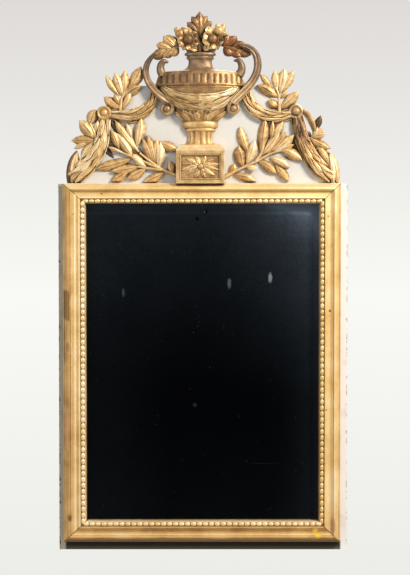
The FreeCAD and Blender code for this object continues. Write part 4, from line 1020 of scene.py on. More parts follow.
def stem(carving, route, widths, tones, height=2.6, sides=10, ribs=0):
    """A round twig or a reeded band. Widths are in pixels, and a route's third number is its height."""
    line = smooth_route(route)
    rings, shades = [], []
    for k, here in enumerate(line):
        before, after = line[max(0, k - 1)], line[min(len(line) - 1, k + 1)]
        way = (after - before).to_2d().normalized()
        normal = Vector((-way.y, way.x))
        share = k / (len(line) - 1)
        half = between(widths, share) / 2
        lift = here.z if len(here) > 2 else height
        ring = []
        for i in range(sides):
            angle = 2 * math.pi * i / sides
            reed = 1 + (REED * math.cos(ribs * angle) if ribs and math.sin(angle) > 0 else 0)
            flat = here.to_2d() + normal * (half * math.cos(angle) * reed)
            rise = lift + half * PIXEL / MM * math.sin(angle) * reed
            ring.append(spot(flat.x, flat.y, max(-SUNK, rise)))
            shades.append(between(tones, share) + (reed - 1) * REED_LIGHT_AND_SHADE)
        rings.append(ring)
    carving.loft(rings, shades)


print("a route has", ROUTE_STEPS, "points from one given place to the next")

# %% [markdown]
# ## Sprays of laurel
# Scattering leaves with a particle system would give a bush, and this is a drawing in wood: every
# leaf was placed by its carver. So each is listed from the carving. Leaves listed later lie over
# the earlier ones and rise a little more. Low leaves left in the rough, painted dark as shade,
# fill the dark places.

# %% Sprays
# Tip, root, width, bend and tone, in pixels but for the tone, pale above zero and brown below.
LEFT_SPRAY = (
    (106.3, 75.5, 119.5, 96, 6, -1, 0.1), (115, 73.5, 123, 97, 11, 0.5, 0.35),
    (125.2, 70.8, 124, 95, 8.6, 0.5, 0.1), (114.5, 94, 120, 106, 4.5, 0, 0),
    (141.6, 67, 130.5, 88, 11, 1, 0.1), (142, 86.5, 123.5, 97.5, 9.5, -1, -0.05),
    (104.2, 97, 123, 109, 9.5, -0.8, 0.0), (131, 92, 122, 109, 7, 0.6, 0.25),
)
RIGHT_SPRAY = (
    (259.6, 74.6, 271.5, 89, 6, 0.6, 0.1), (274.2, 70.4, 276.5, 92, 8.2, 0.5, 0.3),
    (284, 69, 279, 94, 11, 0.6, 0.4), (294, 71.2, 281.5, 93, 8.6, -0.6, 0.25),
    (257, 85.4, 278, 98, 10, 0.8, -0.1), (298.4, 92, 280.5, 108.5, 10, 0.6, 0.25),
    (268, 100.4, 279, 107.5, 8, -0.5, 0.0), (287, 91.5, 280.5, 99, 4.6, 0, 0.3),
)
LEFT_SPRAY_STEMS = (((120.5, 112), (121.5, 104), (122.5, 98), (128, 89)),)
RIGHT_SPRAY_STEMS = (((279.5, 112), (279, 103), (278.5, 96), (276, 88)),)
# The photograph gives the leaves' flat width. Lying aslant, they are fuller, by this share.
FULLER = 1.18
RISE_STEP, RISE_TURN = 0.35, 6
LEAF_RISE, SPRAY_TONE = (3.5, 12.5, 6), -0.1
# The low leaves' dark tone is painted shade.
UNDER_RISE, UNDER_SHADE_TONE = (1.0, 5.0, 2.5), -1.3
TWIG_W, TWIG_H, TWIG_TONES = (3.4, 3.0, 2.2), 4.6, (0.15, 0.15)


def rough_leaves(carving, rows):
    """Low leaves under the others, painted dark as shade. A row is tip, root and width in pixels."""
    for tip_x, tip_y, root_x, root_y, width in rows:
        leaf(carving, (tip_x, tip_y), (root_x, root_y), width, 0, UNDER_RISE, UNDER_SHADE_TONE)


def spray(name, node, rows, stems, under=()):
    """Leaves on their stems as one piece."""
    carving = Carving()
    rough_leaves(carving, under)
    for route in stems:
        stem(carving, route, TWIG_W, TWIG_TONES, TWIG_H)
    for order, (tip_x, tip_y, root_x, root_y, width, bend, tone) in enumerate(rows):
        rise = [height + order % RISE_TURN * RISE_STEP for height in LEAF_RISE]
        leaf(carving, (tip_x, tip_y), (root_x, root_y), width * FULLER, bend, rise, tone + SPRAY_TONE)
    carving.finish(name, bright_gilding, node)


spray("laurel_spray_left", "upper_spray_left", LEFT_SPRAY, LEFT_SPRAY_STEMS)
spray("laurel_spray_right", "upper_spray_right", RIGHT_SPRAY, RIGHT_SPRAY_STEMS)

# %% [markdown]
# Outside the left garland a few leaves fill the crest's shoulder. They are made in the same way.

# %% Outer leaves on the left
LEFT_OUTER = (
    (96.8, 109.4, 90.2, 126, 10.5, -0.8, 0.15), (98.4, 120.5, 94.6, 134, 5.6, 0.5, 0.5),
    (79.6, 120.6, 95, 139, 11.5, 0.7, 0.1), (71.6, 140.8, 96, 140.5, 8.8, 0.3, 0.0),
    (74.5, 149, 88, 143, 4.6, 0.4, 0.2), (81.2, 159, 94, 141.5, 9, -0.5, 0.35),
)
LEFT_OUTER_STEMS = (((90.5, 124), (94, 131), (97, 139), (100, 146)),)
LEFT_OUTER_UNDER = ((98, 114, 98.6, 136, 6), (84, 163, 95, 142, 6))
spray("side_leaves_left", "outer_leaves_left", LEFT_OUTER, LEFT_OUTER_STEMS, LEFT_OUTER_UNDER)

# %% [markdown]
# A long branch of laurel spreads from each side of the pedestal toward the garlands. They have the
# most leaves of all, so they set the crest's rhythm, and each leaf has a size and turn of its own.

# %% Laurel branches
LEFT_LAUREL = (
    (95.5, 168.4, 131, 158.6, 10, -1.5, 0.0), (115.2, 132.5, 133, 159, 9.6, 0.6, 0.35),
    (115.4, 120.5, 139, 152, 9.4, -0.6, 0.1), (127, 123.5, 132, 140, 5, 0, 0.45),
    (141.4, 117.5, 137, 146, 10.2, 0.9, 0.35), (109, 146.6, 123, 152.6, 3.6, -0.6, 0.35),
    (111, 130, 119, 150, 7.5, 0.8, 0.0), (142.8, 138, 152.6, 163.5, 7.6, 0.5, -0.2),
    (147.6, 134.6, 155.5, 164, 8.2, 0.6, -0.05), (157.4, 139.2, 156, 160, 8, 0.3, 0.2),
    (160.6, 142.4, 158.4, 168.5, 9.6, 0.4, 0.6), (177.8, 149.8, 159.6, 142, 9, 0.6, 0.05),
    (169.4, 161, 172.6, 174.4, 7.6, 0.3, 0.25), (133, 153.6, 147, 168, 8, -0.4, 0.35),
    (111.6, 170.6, 139.5, 166.6, 9, -1, 0.1), (111.6, 181, 128.6, 170, 8.2, -0.8, 0.05),
    (127.4, 178.4, 146, 168, 8.6, -0.8, 0.1), (143, 182.4, 164, 172.4, 8.4, -1, 0.1),
)
LEFT_LAUREL_STEMS = (
    ((176.5, 174.8), (163, 169.6), (151, 161.5), (140, 153)),
    ((160, 168.5), (146, 162.5), (133, 157), (120, 151.5)), ((162, 170), (150, 168.4), (138, 166.6)),
)
LEFT_UNDER = (
    (110, 118, 124, 138, 9), (105, 139, 118, 150, 7), (103, 146, 114, 158, 6), (126, 142, 139, 157, 8),
    (136, 146, 146, 162, 6), (118, 158, 134, 166, 5),
)
RIGHT_LAUREL = (
    (234.4, 163.4, 231, 174, 7.4, 0.3, 0.1), (240, 126.6, 248, 152, 8.8, -1, 0.1),
    (238.6, 145.4, 243.6, 167.4, 10.4, -0.6, -0.15), (254.8, 139.6, 246.6, 164.5, 9.6, 0.5, 0.5),
    (265.4, 118.5, 261, 151.5, 9.6, -0.5, 0.0), (272.6, 121, 271, 140, 4.6, 0, 0.1),
    (283, 121.4, 271, 137, 8, 0.8, 0.45), (279.4, 132.4, 261.6, 155, 9, 0.5, 0.4),
    (285.6, 132, 267.6, 154, 8.4, 0.6, 0.0), (294, 134.8, 273.5, 151.5, 8.8, 0.6, 0.45),
    (293.6, 144.4, 279, 150.6, 5.6, 0.3, 0.2), (302.2, 160.4, 279.5, 148.6, 9.4, -0.9, 0.1),
    (289.4, 167.6, 270, 157.6, 8.6, -0.6, 0.3), (276.6, 173.6, 258.4, 160, 9.6, -0.9, -0.1),
    (288.6, 181, 275.6, 165, 8.6, -0.4, 0.0), (256, 181.4, 234.6, 174.6, 7.6, -0.9, 0.1),
    (257, 168, 246.4, 166.6, 6.4, 0.4, 0.5),
)
RIGHT_LAUREL_STEMS = (
    ((224.5, 177), (232, 173), (243, 167.4), (257, 161), (270, 154), (283, 149.6)),
    ((256, 161), (262, 152), (264, 142)),
)
RIGHT_UNDER = (
    (290, 138, 297, 145, 6), (292, 144, 298, 152, 6), (284, 152, 292, 160, 7), (266, 136, 262, 152, 5),
    (276, 138, 268, 152, 5),
)
spray("laurel_left", "laurel_branch_left", LEFT_LAUREL, LEFT_LAUREL_STEMS, LEFT_UNDER)
spray("laurel_right", "laurel_branch_right", RIGHT_LAUREL, RIGHT_LAUREL_STEMS, RIGHT_UNDER)
print("laurel leaves:", len(LEFT_SPRAY + RIGHT_SPRAY + LEFT_OUTER + LEFT_LAUREL + RIGHT_LAUREL))

# %% [markdown]
# On the right a thick reeded stem arches over the garland, and its leaves are as flat as the
# photograph shows them, so they keep their width and one tilt instead of a spray's.

# %% Outer leaves on the right
RIGHT_OUTER = (
    (320.4, 115.6, 314.4, 131, 7.4, 0.4, -0.85), (325.4, 133.6, 311, 136, 8, 0.8, 0.35),
    (322.6, 128.4, 312, 135, 7, 0.3, 0.6), (317.4, 127, 313, 137, 6.4, 0, 0.45),
    (330.8, 148.4, 309, 137.4, 9.6, 1.4, 0.1), (329, 165, 316.4, 144, 9.2, -1.2, 0.25),
)
RIGHT_OUTER_UNDER = ((306.6, 131, 311, 138, 5), (322, 163, 311, 142, 5))
RIGHT_ARCH = ((301, 110), (306.5, 114.5), (311.5, 122), (314.5, 131))
RIGHT_ARCH_W, RIGHT_ARCH_TONES, RIGHT_ARCH_H = (4.4, 6.6, 7.4, 5), (-0.5, -0.2, -0.5), 5.5
RIGHT_OUTER_TONE, RIGHT_OUTER_TILT = -0.3, 0.1

outer_right = Carving()
rough_leaves(outer_right, RIGHT_OUTER_UNDER)
stem(outer_right, RIGHT_ARCH, RIGHT_ARCH_W, RIGHT_ARCH_TONES, RIGHT_ARCH_H, sides=18, ribs=3)
for order, (tip_x, tip_y, root_x, root_y, width, bend, tone) in enumerate(RIGHT_OUTER):
    rise = (4, 12.5 + order * RISE_STEP, 6)
    leaf(outer_right, (tip_x, tip_y), (root_x, root_y), width, bend, rise, tone + RIGHT_OUTER_TONE,
         tilt=RIGHT_OUTER_TILT)
outer_right.finish("side_leaves_right", bright_gilding, "outer_leaves_right")

# %% [markdown]
# ## A leaf laid on something round
# A garland is a rope of long laurel leaves that overlap like shingles, with dark seams between. A
# plain tube would look like a sausage, so each leaf is laid on a core: its two ends are a share of
# the way along the rope and an angle round it, and its tip lifts off. Any round surface can carry
# such leaves, if a function gives its points.

# %% A leaf laid on a surface
LAID_ROWS = 11
LAID_ACROSS = (-1, -0.72, -0.36, -0.1, 0.1, 0.36, 0.72, 1)
LAID_RIB, LAID_RIB_HALF, LAID_RIB_END = 0.7, 0.2, 0.9
# The rib and the foot of a laid leaf are darker: painted shade.
LAID_FOOT, LAID_TIP_TONE, LAID_RIB_SHADE, LAID_FOOT_SHADE = 0.7, 0.3, -0.25, -0.5


def laid_leaf(carving, place, start, end, half, lift, tone, body_mm=1.5, sunk_mm=2.6):
    """A leaf laid over a surface, where place(along, round, out) gives a point of it."""
    rings, tones = [], []
    for i in range(LAID_ROWS):
        t = i / (LAID_ROWS - 1)
        along = start[0] + (end[0] - start[0]) * t
        middle = start[1] + (end[1] - start[1]) * t
        wide = half * fullness(t, 0.75, 0.4)
        raised = lift * t ** 1.6
        ring = []
        for v in LAID_ACROSS:
            swell = body_mm * (1 - abs(v) ** 2.2) * (0.35 + 0.65 * math.sin(math.pi * t ** 0.9))
            rib = -LAID_RIB if abs(v) < LAID_RIB_HALF and t < LAID_RIB_END else 0
            ring.append(place(along, middle + wide * v, raised + swell + rib))
            tones.append(tone + LAID_TIP_TONE * t + (LAID_RIB_SHADE if abs(v) < LAID_RIB_HALF else 0))
        ring += [place(along, middle + wide * foot, -sunk_mm) for foot in (LAID_FOOT, -LAID_FOOT)]
        tones += [tone + LAID_FOOT_SHADE] * 2
        rings.append(ring)
    carving.loft(rings, tones)


print("points in a laid leaf:", LAID_ROWS * (len(LAID_ACROSS) + 2))

# %% [markdown]
# ## A rope of leaves
# The rope has a core, painted dark as the shade between its leaves, and rows of leaves over it,
# as a gardener binds a garland. The leaves on its flanks stand past the core, so its outline is
# leafy too, and dice vary their length, width, turn, lift and tone.

# %% A rope of leaves
ROPE_STEPS, CORE_STEPS, CORE_DEGREES = 10, 44, 15
ROPE_SPAN = math.radians(100)
# The core's dark tone is painted shade.
CORE_SUNK, CORE_SHADE_TONE = 1.0, -0.6
# The least reach of the rope and how far it may sink into the ground, in millimetres.
LEAST_ROPE, ROPE_SUNK = 0.5, 0.4
# The first row starts before the rope does, and the leaves splay out on the flanks, in radians.
LEAVES_ACROSS, END_SHARE, EARLY, SPLAY = 4, 0.9999, 0.7, 0.32


def along_route(line, share):
    """The place and direction at a share of a route's points."""
    position = min(max(share, 0), END_SHARE) * (len(line) - 1)
    low = int(position)
    here = line[low].lerp(line[low + 1], position - low)
    way = (line[low + 1] - line[low]).to_2d().normalized()
    return here, way


def rope(carving, route, radii, rows, leaf_share, dice, tones, depth=0.85, base=2.0, lift=1.6, under=None):
    """A rope of laid leaves. Radii are in pixels along the route, and tones run from start to end.

    It lies on the ground board, or on the surface whose rise is given by under(px, py).
    """
    line = smooth_route(route, ROPE_STEPS)

    def place(along, angle, out):
        here, way = along_route(line, along)
        normal = Vector((-way.y, way.x))
        reach = max(between(radii, along) * PIXEL / MM + out, LEAST_ROPE)
        flat = here.to_2d() + normal * (reach * MM / PIXEL * math.sin(angle))
        ground = under(flat.x, flat.y) if under else 0
        return spot(flat.x, flat.y, max(-ROPE_SUNK, ground + base + reach * depth * math.cos(angle)))

    turns = [math.radians(a) for a in range(-180, 180, CORE_DEGREES)]
    stops = [k / CORE_STEPS for k in range(CORE_STEPS + 1)]
    carving.loft([[place(stop, turn, -CORE_SUNK) for turn in turns] for stop in stops], CORE_SHADE_TONE)
    for row in range(rows):
        start = (row - EARLY) * (1 - leaf_share * 0.5) / (rows - 1)
        count = LEAVES_ACROSS + row % 2
        for col in range(count):
            round_at = ROPE_SPAN * (2 * (col + 0.5) / count - 1) + dice.uniform(-0.1, 0.1)
            splay = SPLAY * math.sin(round_at) + dice.uniform(-0.14, 0.14)
            end = start + leaf_share * dice.uniform(0.88, 1.12)
            shade = between(tones, (start + end) / 2) + dice.uniform(-0.3, 0.3)
            half = ROPE_SPAN / count * dice.uniform(0.62, 0.76)
            raised = lift * dice.uniform(0.6, 1.3)
            laid_leaf(carving, place, (start, round_at), (end, round_at + splay), half, raised, shade)


print("leaves in a row of a rope:", LEAVES_ACROSS, "or", LEAVES_ACROSS + 1)

# %% [markdown]
# ## Four garlands
# Two garlands swing from the urn's handles to a button, and two drop from there to the frame's
# corners, swelling on the way. Each follows the curve that a real garland would hang in.

# %% Garlands
# Name, node, route and radii in pixels, rows of leaves, a leaf's share of the length, tones and seed.
GARLANDS = (
    ("laurel_garland_upper_left", "garland_upper_left",
     ((108, 114), (121, 115.6), (134, 115.6), (146, 110.5), (153, 101.5), (156.5, 90)),
     (4.2, 5.2, 6.4, 5.4, 4.4, 3.4), 7, 0.30, (0.0, -0.15, -0.5), 11),
    ("laurel_garland_upper_right", "garland_upper_right",
     ((293, 113.6), (280, 116.4), (266, 116), (254.5, 109.5), (247, 99), (244.5, 88)),
     (4.4, 5.2, 5.8, 5.8, 5.0, 3.8), 7, 0.30, (0.05, 0.0, -0.6), 12),
    ("laurel_garland_drop_left", "garland_drop_left",
     ((105.6, 115), (103.8, 130), (101, 144), (94, 157), (85, 168), (72.5, 178.4)),
     (5.0, 5.8, 7.0, 7.8, 8.2, 7.2), 10, 0.24, (0.1, 0.15, 0.1, 0.0), 13),
    ("laurel_garland_drop_right", "garland_drop_right",
     ((296, 114), (299, 128), (303.5, 143), (311, 157), (320, 168.5), (332, 178.4)),
     (5.0, 6.0, 6.8, 7.2, 7.6, 5.4), 10, 0.24, (-0.9, -0.7, -0.35, 0.0), 14),
)
for name, node, route, radii, rows, leaf_share, tones, seed in GARLANDS:
    garland = Carving()
    rope(garland, route, radii, rows, leaf_share, random.Random(seed), tones)
    garland.finish(name, bright_gilding, node)

# %% [markdown]
# ## Buttons
# The garlands hang from turned buttons. The left one is a boss with a hollow ring, and the right
# one a ball in a dish, rubbed browner. A Screw modifier would turn the same profile, but rings of
# points go straight into the carving with their tone.

# %% Turned shapes on the ground
BOSS_SPOKES, BALL_SPOKES, BALL_ROWS = 28, 20, 12


def boss(carving, px, py, rings, tone, spokes=BOSS_SPOKES):
    """A turned boss: rings are (radius in pixels, rise in millimetres) from outside to the middle."""
    turns = [2 * math.pi * i / spokes for i in range(spokes)]
    carving.loft([[spot(px + r * math.cos(turn), py + r * math.sin(turn), rise) for turn in turns]
                  for r, rise in rings], tone)


def ball(carving, px, py, rise, radius, tone=0.0, squash=1.0):
    """A round bud: radius in pixels, its centre at that rise."""
    turns = [math.pi * k / BALL_ROWS for k in range(1, BALL_ROWS)]
    half = squash * radius * PIXEL / MM
    rings = [(radius * math.sin(turn), rise - half * math.cos(turn)) for turn in turns]
    boss(carving, px, py, rings, tone, BALL_SPOKES)


LEFT_BUTTON_PX, RIGHT_BUTTON_PX, RIGHT_BALL_PX = (104.8, 113.2), (295.6, 111.8), (295.8, 111.6)
LEFT_BUTTON = ((7.2, -0.4), (7.3, 9), (6.9, 12), (6.0, 13.6), (5.2, 12.6), (4.6, 10.8), (3.6, 10.6),
               (2.9, 12.4), (2.0, 13.8), (0.8, 14.4))
RIGHT_BUTTON = ((7.2, -0.4), (7.3, 8), (6.8, 10.4), (6.0, 11), (5.2, 10.2), (4.4, 9.8))
RIGHT_BALL_RISE, RIGHT_BALL_R = 10.5, 4.3

left_button = Carving()
boss(left_button, *LEFT_BUTTON_PX, LEFT_BUTTON, 0.1)
left_button.finish("button_left", bright_gilding, "garland_button_left")
right_button = Carving()
boss(right_button, *RIGHT_BUTTON_PX, RIGHT_BUTTON, 0.35)
ball(right_button, *RIGHT_BALL_PX, RIGHT_BALL_RISE, RIGHT_BALL_R, 0.1)
right_button.finish("button_right", rubbed_gilding, "garland_button_right")

# %% [markdown]
# ## Handles and horns
# The handles are reeded bands that leave the bouquet, run down outside the urn and end in small
# scrolls with a ball for an eye. The horns curl in from its shoulder. Both are stems whose route
# has a height too, because they stand free of the board for most of their way.

# %% Handles and horns
# Side, route, widths, tones, the scroll's route, and the eye of the scroll.
HANDLES = (
    ("left",
     ((155, 55, 13), (151, 59.5, 12), (147.2, 66, 11), (146.2, 74, 10), (149, 83, 10), (155.5, 91, 11),
      (163, 97.4, 12), (170, 102, 11)),
     (3.0, 4.4, 5.4, 5.8, 6.4, 7.4, 8.2, 7.6), (-0.8, -0.6, -0.4, 0.0, 0.3),
     ((170.5, 101.5, 11), (173, 106, 11), (171.6, 112, 10), (166, 114, 9), (162.4, 110, 9), (164.4, 105.6, 9),
      (168.6, 107, 9)),
     (167.4, 109.4)),
    ("right",
     ((239.5, 46, 14), (248, 48.4, 13), (254.6, 54.4, 12), (257.4, 63.5, 11), (256.2, 73.5, 10),
      (251.6, 82.5, 10), (244, 91, 11), (236.6, 98, 12), (232, 103, 11)),
     (3.4, 5.0, 6.2, 7.0, 7.2, 7.4, 8.2, 8.4, 7.0), (-0.5, -0.5, -0.3, 0.2, 0.6),
     ((232.5, 101, 11), (229, 105.4, 10), (229.4, 111, 9), (234, 113.6, 9), (238.2, 110.4, 9), (237, 106, 9),
      (233.4, 106.4, 9)),
     (233.6, 109.2)),
)
SCROLL_W, SCROLL_TONES, EYE_RISE, EYE_R = (7.0, 4.8, 4.0, 3.6, 3.2, 2.4), (0.2, 0.1), 10, 3.9
HORNS = (
    ("left", ((163.6, 76, 9), (161.2, 71.5, 9), (161.4, 66, 10), (164.4, 62.6, 11), (168.8, 63.4, 11)),
     (9.4, 8.4, 7.2, 5.8, 1.6)),
    ("right", ((238.8, 76, 9), (241.4, 71.5, 9), (241.4, 66, 10), (238.6, 61.8, 11), (233.6, 61.6, 11)),
     (9.4, 8.2, 7.0, 5.6, 1.4)),
)
HORN_TONES = (-0.4, -0.5, -0.7)
for side, route, widths, tones, scroll, eye in HANDLES:
    handle = Carving()
    stem(handle, route, widths, tones, sides=36, ribs=6)
    stem(handle, scroll, SCROLL_W, SCROLL_TONES, sides=16)
    ball(handle, *eye, EYE_RISE, EYE_R)
    handle.finish("handle_" + side, rubbed_gilding, "urn_handle_" + side)
for side, route, widths in HORNS:
    horn = Carving()
    stem(horn, route, widths, HORN_TONES, sides=24)
    horn.finish("horn_" + side, rubbed_gilding, "urn_horn_" + side)

# %% [markdown]
# ## Corner leaves
# Two tall narrow leaves, in the manner of acanthus, close the crest at each outer corner. They
# are blunter than laurel, and the two of a pair tilt together, as one was carved over the other.

# %% Corner leaves
CORNER_BLUNT, CORNER_RISE, CORNER_STEP = 0.5, (7, 11, 7), 1.5
# Tip, root, bend, width, tilt and tone.
CORNER_LEAVES = (
    ("left", (((77.4, 150.4), (69.5, 186), -2.0, 8.5, -0.2, -1.0),
              ((78.2, 151.4), (74, 186), -1.8, 10.5, -0.3, 0.05))),
    ("right", (((328.6, 151), (337, 186), 2.2, 8, 0.3, 0.1),
               ((329.4, 155), (331.5, 186), 2.0, 7.5, 0.2, 0.4))),
)
for side, rows in CORNER_LEAVES:
    corner_leaf = Carving()
    for order, (tip, root, bend, width, tilt, tone) in enumerate(rows):
        low, middle, high = CORNER_RISE
        rise = (low, middle + order * CORNER_STEP, high)
        leaf(corner_leaf, tip, root, width, bend, rise, tone, blunt=CORNER_BLUNT, tilt=tilt)
    corner_leaf.finish("corner_acanthus_" + side, bright_gilding, "corner_leaf_" + side)

# %% [markdown]
# ## Roses
# A rose is a ring of cupped petals round a ball-shaped heart. Each petal is a short blunt leaf
# whose roof is turned over, so its rim stands higher than its middle and its hollow is dark. The
# tones of the petals go round the flower, painted light on one side and painted shade on the other.

# %% A rose
CUP_ROOF = -0.3
PETAL_ROOT, PETAL_W, PETAL_BLUNT, PETAL_RISE = 0.2, 0.9, 0.36, (9, 18, 13)
HEART_TONE, HEART_RISE, HEART_SPOKES = -0.4, 16, 24


def rose(carving, heart, reach, petals, tones, heart_r, turn):
    """Petals round a ball. The tones of the petals, painted light and shade, start at the right and go round.
    """
    heart = Vector(heart)
    for i in range(petals):
        angle = turn + 2 * math.pi * i / petals
        way = Vector((math.cos(angle), math.sin(angle)))
        leaf(carving, heart + way * reach, heart + way * reach * PETAL_ROOT, reach * PETAL_W, 0, PETAL_RISE,
             between(tones, i / petals), blunt=PETAL_BLUNT, roof=CUP_ROOF)
    collar = ((heart_r + 1.2, 8), (heart_r + 1.3, 15), (heart_r + 0.7, 16.5), (heart_r, 15.5))
    boss(carving, heart.x, heart.y, collar, HEART_TONE, HEART_SPOKES)
    ball(carving, heart.x, heart.y, HEART_RISE, heart_r, between(tones, 0.1) - 0.1)


print("a petal is", PETAL_W, "of the rose's reach in width")

# %% [markdown]
# Small leaves and buds crowd round each rose. Some are flat leaves and some are cupped like a
# petal, so each row of the tables says which.

# %% Roses with their small leaves and buds
SMALL_BLUNT = 0.4


def small_leaves(carving, rows):
    """Leaves round a flower. A row is tip, root, width, bend, rises, tone and roof."""
    for tip, root, width, bend, rise, tone, roof in rows:
        leaf(carving, tip, root, width, bend, rise, tone, blunt=SMALL_BLUNT, roof=roof)


# The tones round the petals are painted light and shade.
LEFT_ROSE_PX, LEFT_ROSE_TONES = (188.6, 41), (-0.9, -0.5, -0.2, -0.1, -0.5, -0.7, -0.9)
LEFT_ROSE_LOW = (((197.6, 51.5), (189, 47), 6, 0, (8, 17, 11), -0.1, CUP_ROOF),)
# A bud is its place, its rise, its radius and its tone.
LEFT_BUDS = ((180.2, 35, 11, 4.9, -0.25), (177.6, 31.4, 9, 3.4, -0.1))
LEFT_ROSE_HIGH = (
    ((181.6, 28.6), (187, 36), 5.6, 0, (8, 16, 10), -0.4, ROOF),
    ((188.6, 28.4), (189, 38), 6.6, 0, (8, 18, 11), 0.1, CUP_ROOF),
)
left_rose = Carving()
rose(left_rose, LEFT_ROSE_PX, 11.2, 7, LEFT_ROSE_TONES, 4.9, 0.3)
small_leaves(left_rose, LEFT_ROSE_LOW)
for bud in LEFT_BUDS:
    ball(left_rose, *bud)
small_leaves(left_rose, LEFT_ROSE_HIGH)
left_rose.finish("rose_left", bright_gilding, "bouquet_flower_left")

# The tones round the petals are painted light and shade.
RIGHT_ROSE_PX, RIGHT_ROSE_TONES = (213.2, 40.4), (-0.8, -0.3, 0.0, 0.2, 0.0, -0.4, -0.7)
RIGHT_BUD, RIGHT_BUD_SQUASH = (219.2, 32.4, 12, 5.2, 0.0), 1.2
RIGHT_ROSE_LEAVES = (
    ((216.6, 24.4), (220, 35), 6.6, 0.6, (8, 20, 13), 0.2, ROOF),
    ((224.6, 25.4), (221, 36), 6.2, -0.6, (8, 19, 12), 0.0, ROOF),
    ((226.8, 34), (219, 37), 5.6, 0, (8, 17, 11), -0.2, ROOF),
    ((207.4, 27.6), (210, 37), 7, 0.6, (8, 17, 11), 0.2, CUP_ROOF),
    ((204, 51.6), (211, 45), 6.4, 0, (8, 16, 10), 0.0, CUP_ROOF),
)
right_rose = Carving()
rose(right_rose, RIGHT_ROSE_PX, 11.0, 7, RIGHT_ROSE_TONES, 4.5, 0.2)
ball(right_rose, *RIGHT_BUD, RIGHT_BUD_SQUASH)
small_leaves(right_rose, RIGHT_ROSE_LEAVES)
right_rose.finish("rose_right", bright_gilding, "bouquet_flower_right")

# %% [markdown]
# ## The bouquet's leaves
# One lobed leaf crowns the crest, and a cluster of leaves spreads on each side over the handles.
# A lobed leaf is several plain ones that share a root and overlap, which is also how it is carved.

# %% Leaves of the bouquet
CROWN = (
    (193, 54, 200, 40, 6, 0, -0.7), (207.6, 54, 200, 40, 6, 0, -0.7), (200, 55, 200, 38, 9, 0, -0.5),
    (187, 23.4, 199, 35, 8.6, 0.6, -0.2), (212, 22.4, 200.4, 35, 8.6, -0.6, -0.1),
    (191.6, 17.8, 199.4, 30, 8.0, 0.6, -0.3), (207.6, 17.4, 200, 30, 8.0, -0.6, 0.0),
    (199.8, 13, 199.8, 37, 11.4, 0, -0.1),
)
LEFT_CLUSTER = (
    (171.4, 57, 178, 47, 10, 0, -0.15), (163.4, 57.6, 174, 48.5, 10, -0.4, -0.2),
    (152, 58, 168, 49.6, 10.5, -0.8, -0.5), (156.6, 45.6, 172, 50, 9.5, 0.4, -0.2),
    (163.4, 37.4, 177, 48.6, 12, 0.5, -0.1), (170, 37.4, 178.6, 47, 8, 0.3, -0.1),
    (181, 47, 156, 55.5, 3.0, 0.4, -0.1),
)
RIGHT_CLUSTER = (
    (231.4, 57, 224, 47.5, 10, -0.4, -0.1), (241, 57.6, 229, 50, 10, -0.5, 0.0),
    (251, 55.6, 233, 50.6, 10.6, -0.5, 0.15), (244, 43, 230, 50, 10, 0.5, -0.2),
    (236.4, 37, 225, 48.4, 11, 0.6, -0.1), (228.6, 35.6, 222, 47, 10, 0.5, 0.1),
    (221, 46.6, 246, 53.6, 3.0, 0.3, 0.2),
)
# A bunch is its name, node, finish, leaves, middle rises and the step between them, tone and bluntness.
BUNCHES = (
    ("crown_leaf", "bouquet_top_leaf", bright_gilding, CROWN,
     (6, 13, 8), 0.7, -0.4, 0.55),
    ("bouquet_leaf_left", "bouquet_leaves_left", bright_gilding, LEFT_CLUSTER,
     (6, 13, 7), RISE_STEP, 0.0, 0.45),
    ("bouquet_leaf_right", "bouquet_leaves_right", bole_gilding, RIGHT_CLUSTER,
     (6, 13, 7), RISE_STEP, 0.0, 0.45),
)
for name, node, material, rows, (low, middle, high), step, darker, blunt in BUNCHES:
    bunch = Carving()
    for order, (tip_x, tip_y, root_x, root_y, width, bend, tone) in enumerate(rows):
        rise = (low, middle + order * step, high)
        leaf(bunch, (tip_x, tip_y), (root_x, root_y), width, bend, rise, tone + darker, blunt=blunt)
    bunch.finish(name, material, node)

# %% [markdown]
# ## The urn
# The urn is turned work cut in half and pressed flat on the board. Each part is a profile turned
# about the urn's axis through half a circle, with its depth halved. Cutting flutes out with
# Booleans leaves ragged faces. Here flutes and reeds are a change of radius, worked out for each
# point, so they have rounded bottoms and ends.

# %% Turned parts of the urn
AXIS_PX = 200.4
PRESS = 0.5
SPOKES = 132
# Flutes and reed valleys are painted darker the deeper they are cut, as shade.
TURNED_SUNK, LEAST_REACH, CUT_SHADE_TONE = 0.4, 0.2, 0.28


def turned(carving, profile, cut=None, tone=0.0, lit_side_tone=0.0):
    """Half of a turned shape. The profile is (radius, height) in pixels, and cut takes millimetres off.

    The tone rises from the axis to the right edge and falls as much to the left: painted light on the right,
    painted shade on the left. Cut places are painted darker, as shade.
    """
    rings, tones = [], []
    for radius, py in profile:
        ring = []
        for i in range(SPOKES + 1):
            angle = math.pi * i / SPOKES
            taken = cut(AXIS_PX + radius * math.cos(angle), py, angle) if cut else 0
            reach = max(radius - taken / (PIXEL / MM), LEAST_REACH)
            rise = max(reach * math.sin(angle) * PRESS * PIXEL / MM, -TURNED_SUNK)
            ring.append(spot(AXIS_PX + reach * math.cos(angle), py, rise))
            tones.append(tone + lit_side_tone * math.cos(angle) - CUT_SHADE_TONE * max(taken, 0))
        ring += [spot(AXIS_PX - radius, py, -TURNED_SUNK), spot(AXIS_PX + radius, py, -TURNED_SUNK)]
        tones += [tone, tone]
        rings.append(ring)
    carving.loft(rings, tones)


def stretched(profile, most=1.0):
    """The same profile with more points, none further apart than most pixels."""
    found = []
    for (r0, y0), (r1, y1) in zip(profile, profile[1:]):
        steps = max(1, math.ceil(math.hypot(r1 - r0, y1 - y0) / most))
        found += [(r0 + (r1 - r0) * i / steps, y0 + (y1 - y0) * i / steps) for i in range(steps)]
    return found + [profile[-1]]


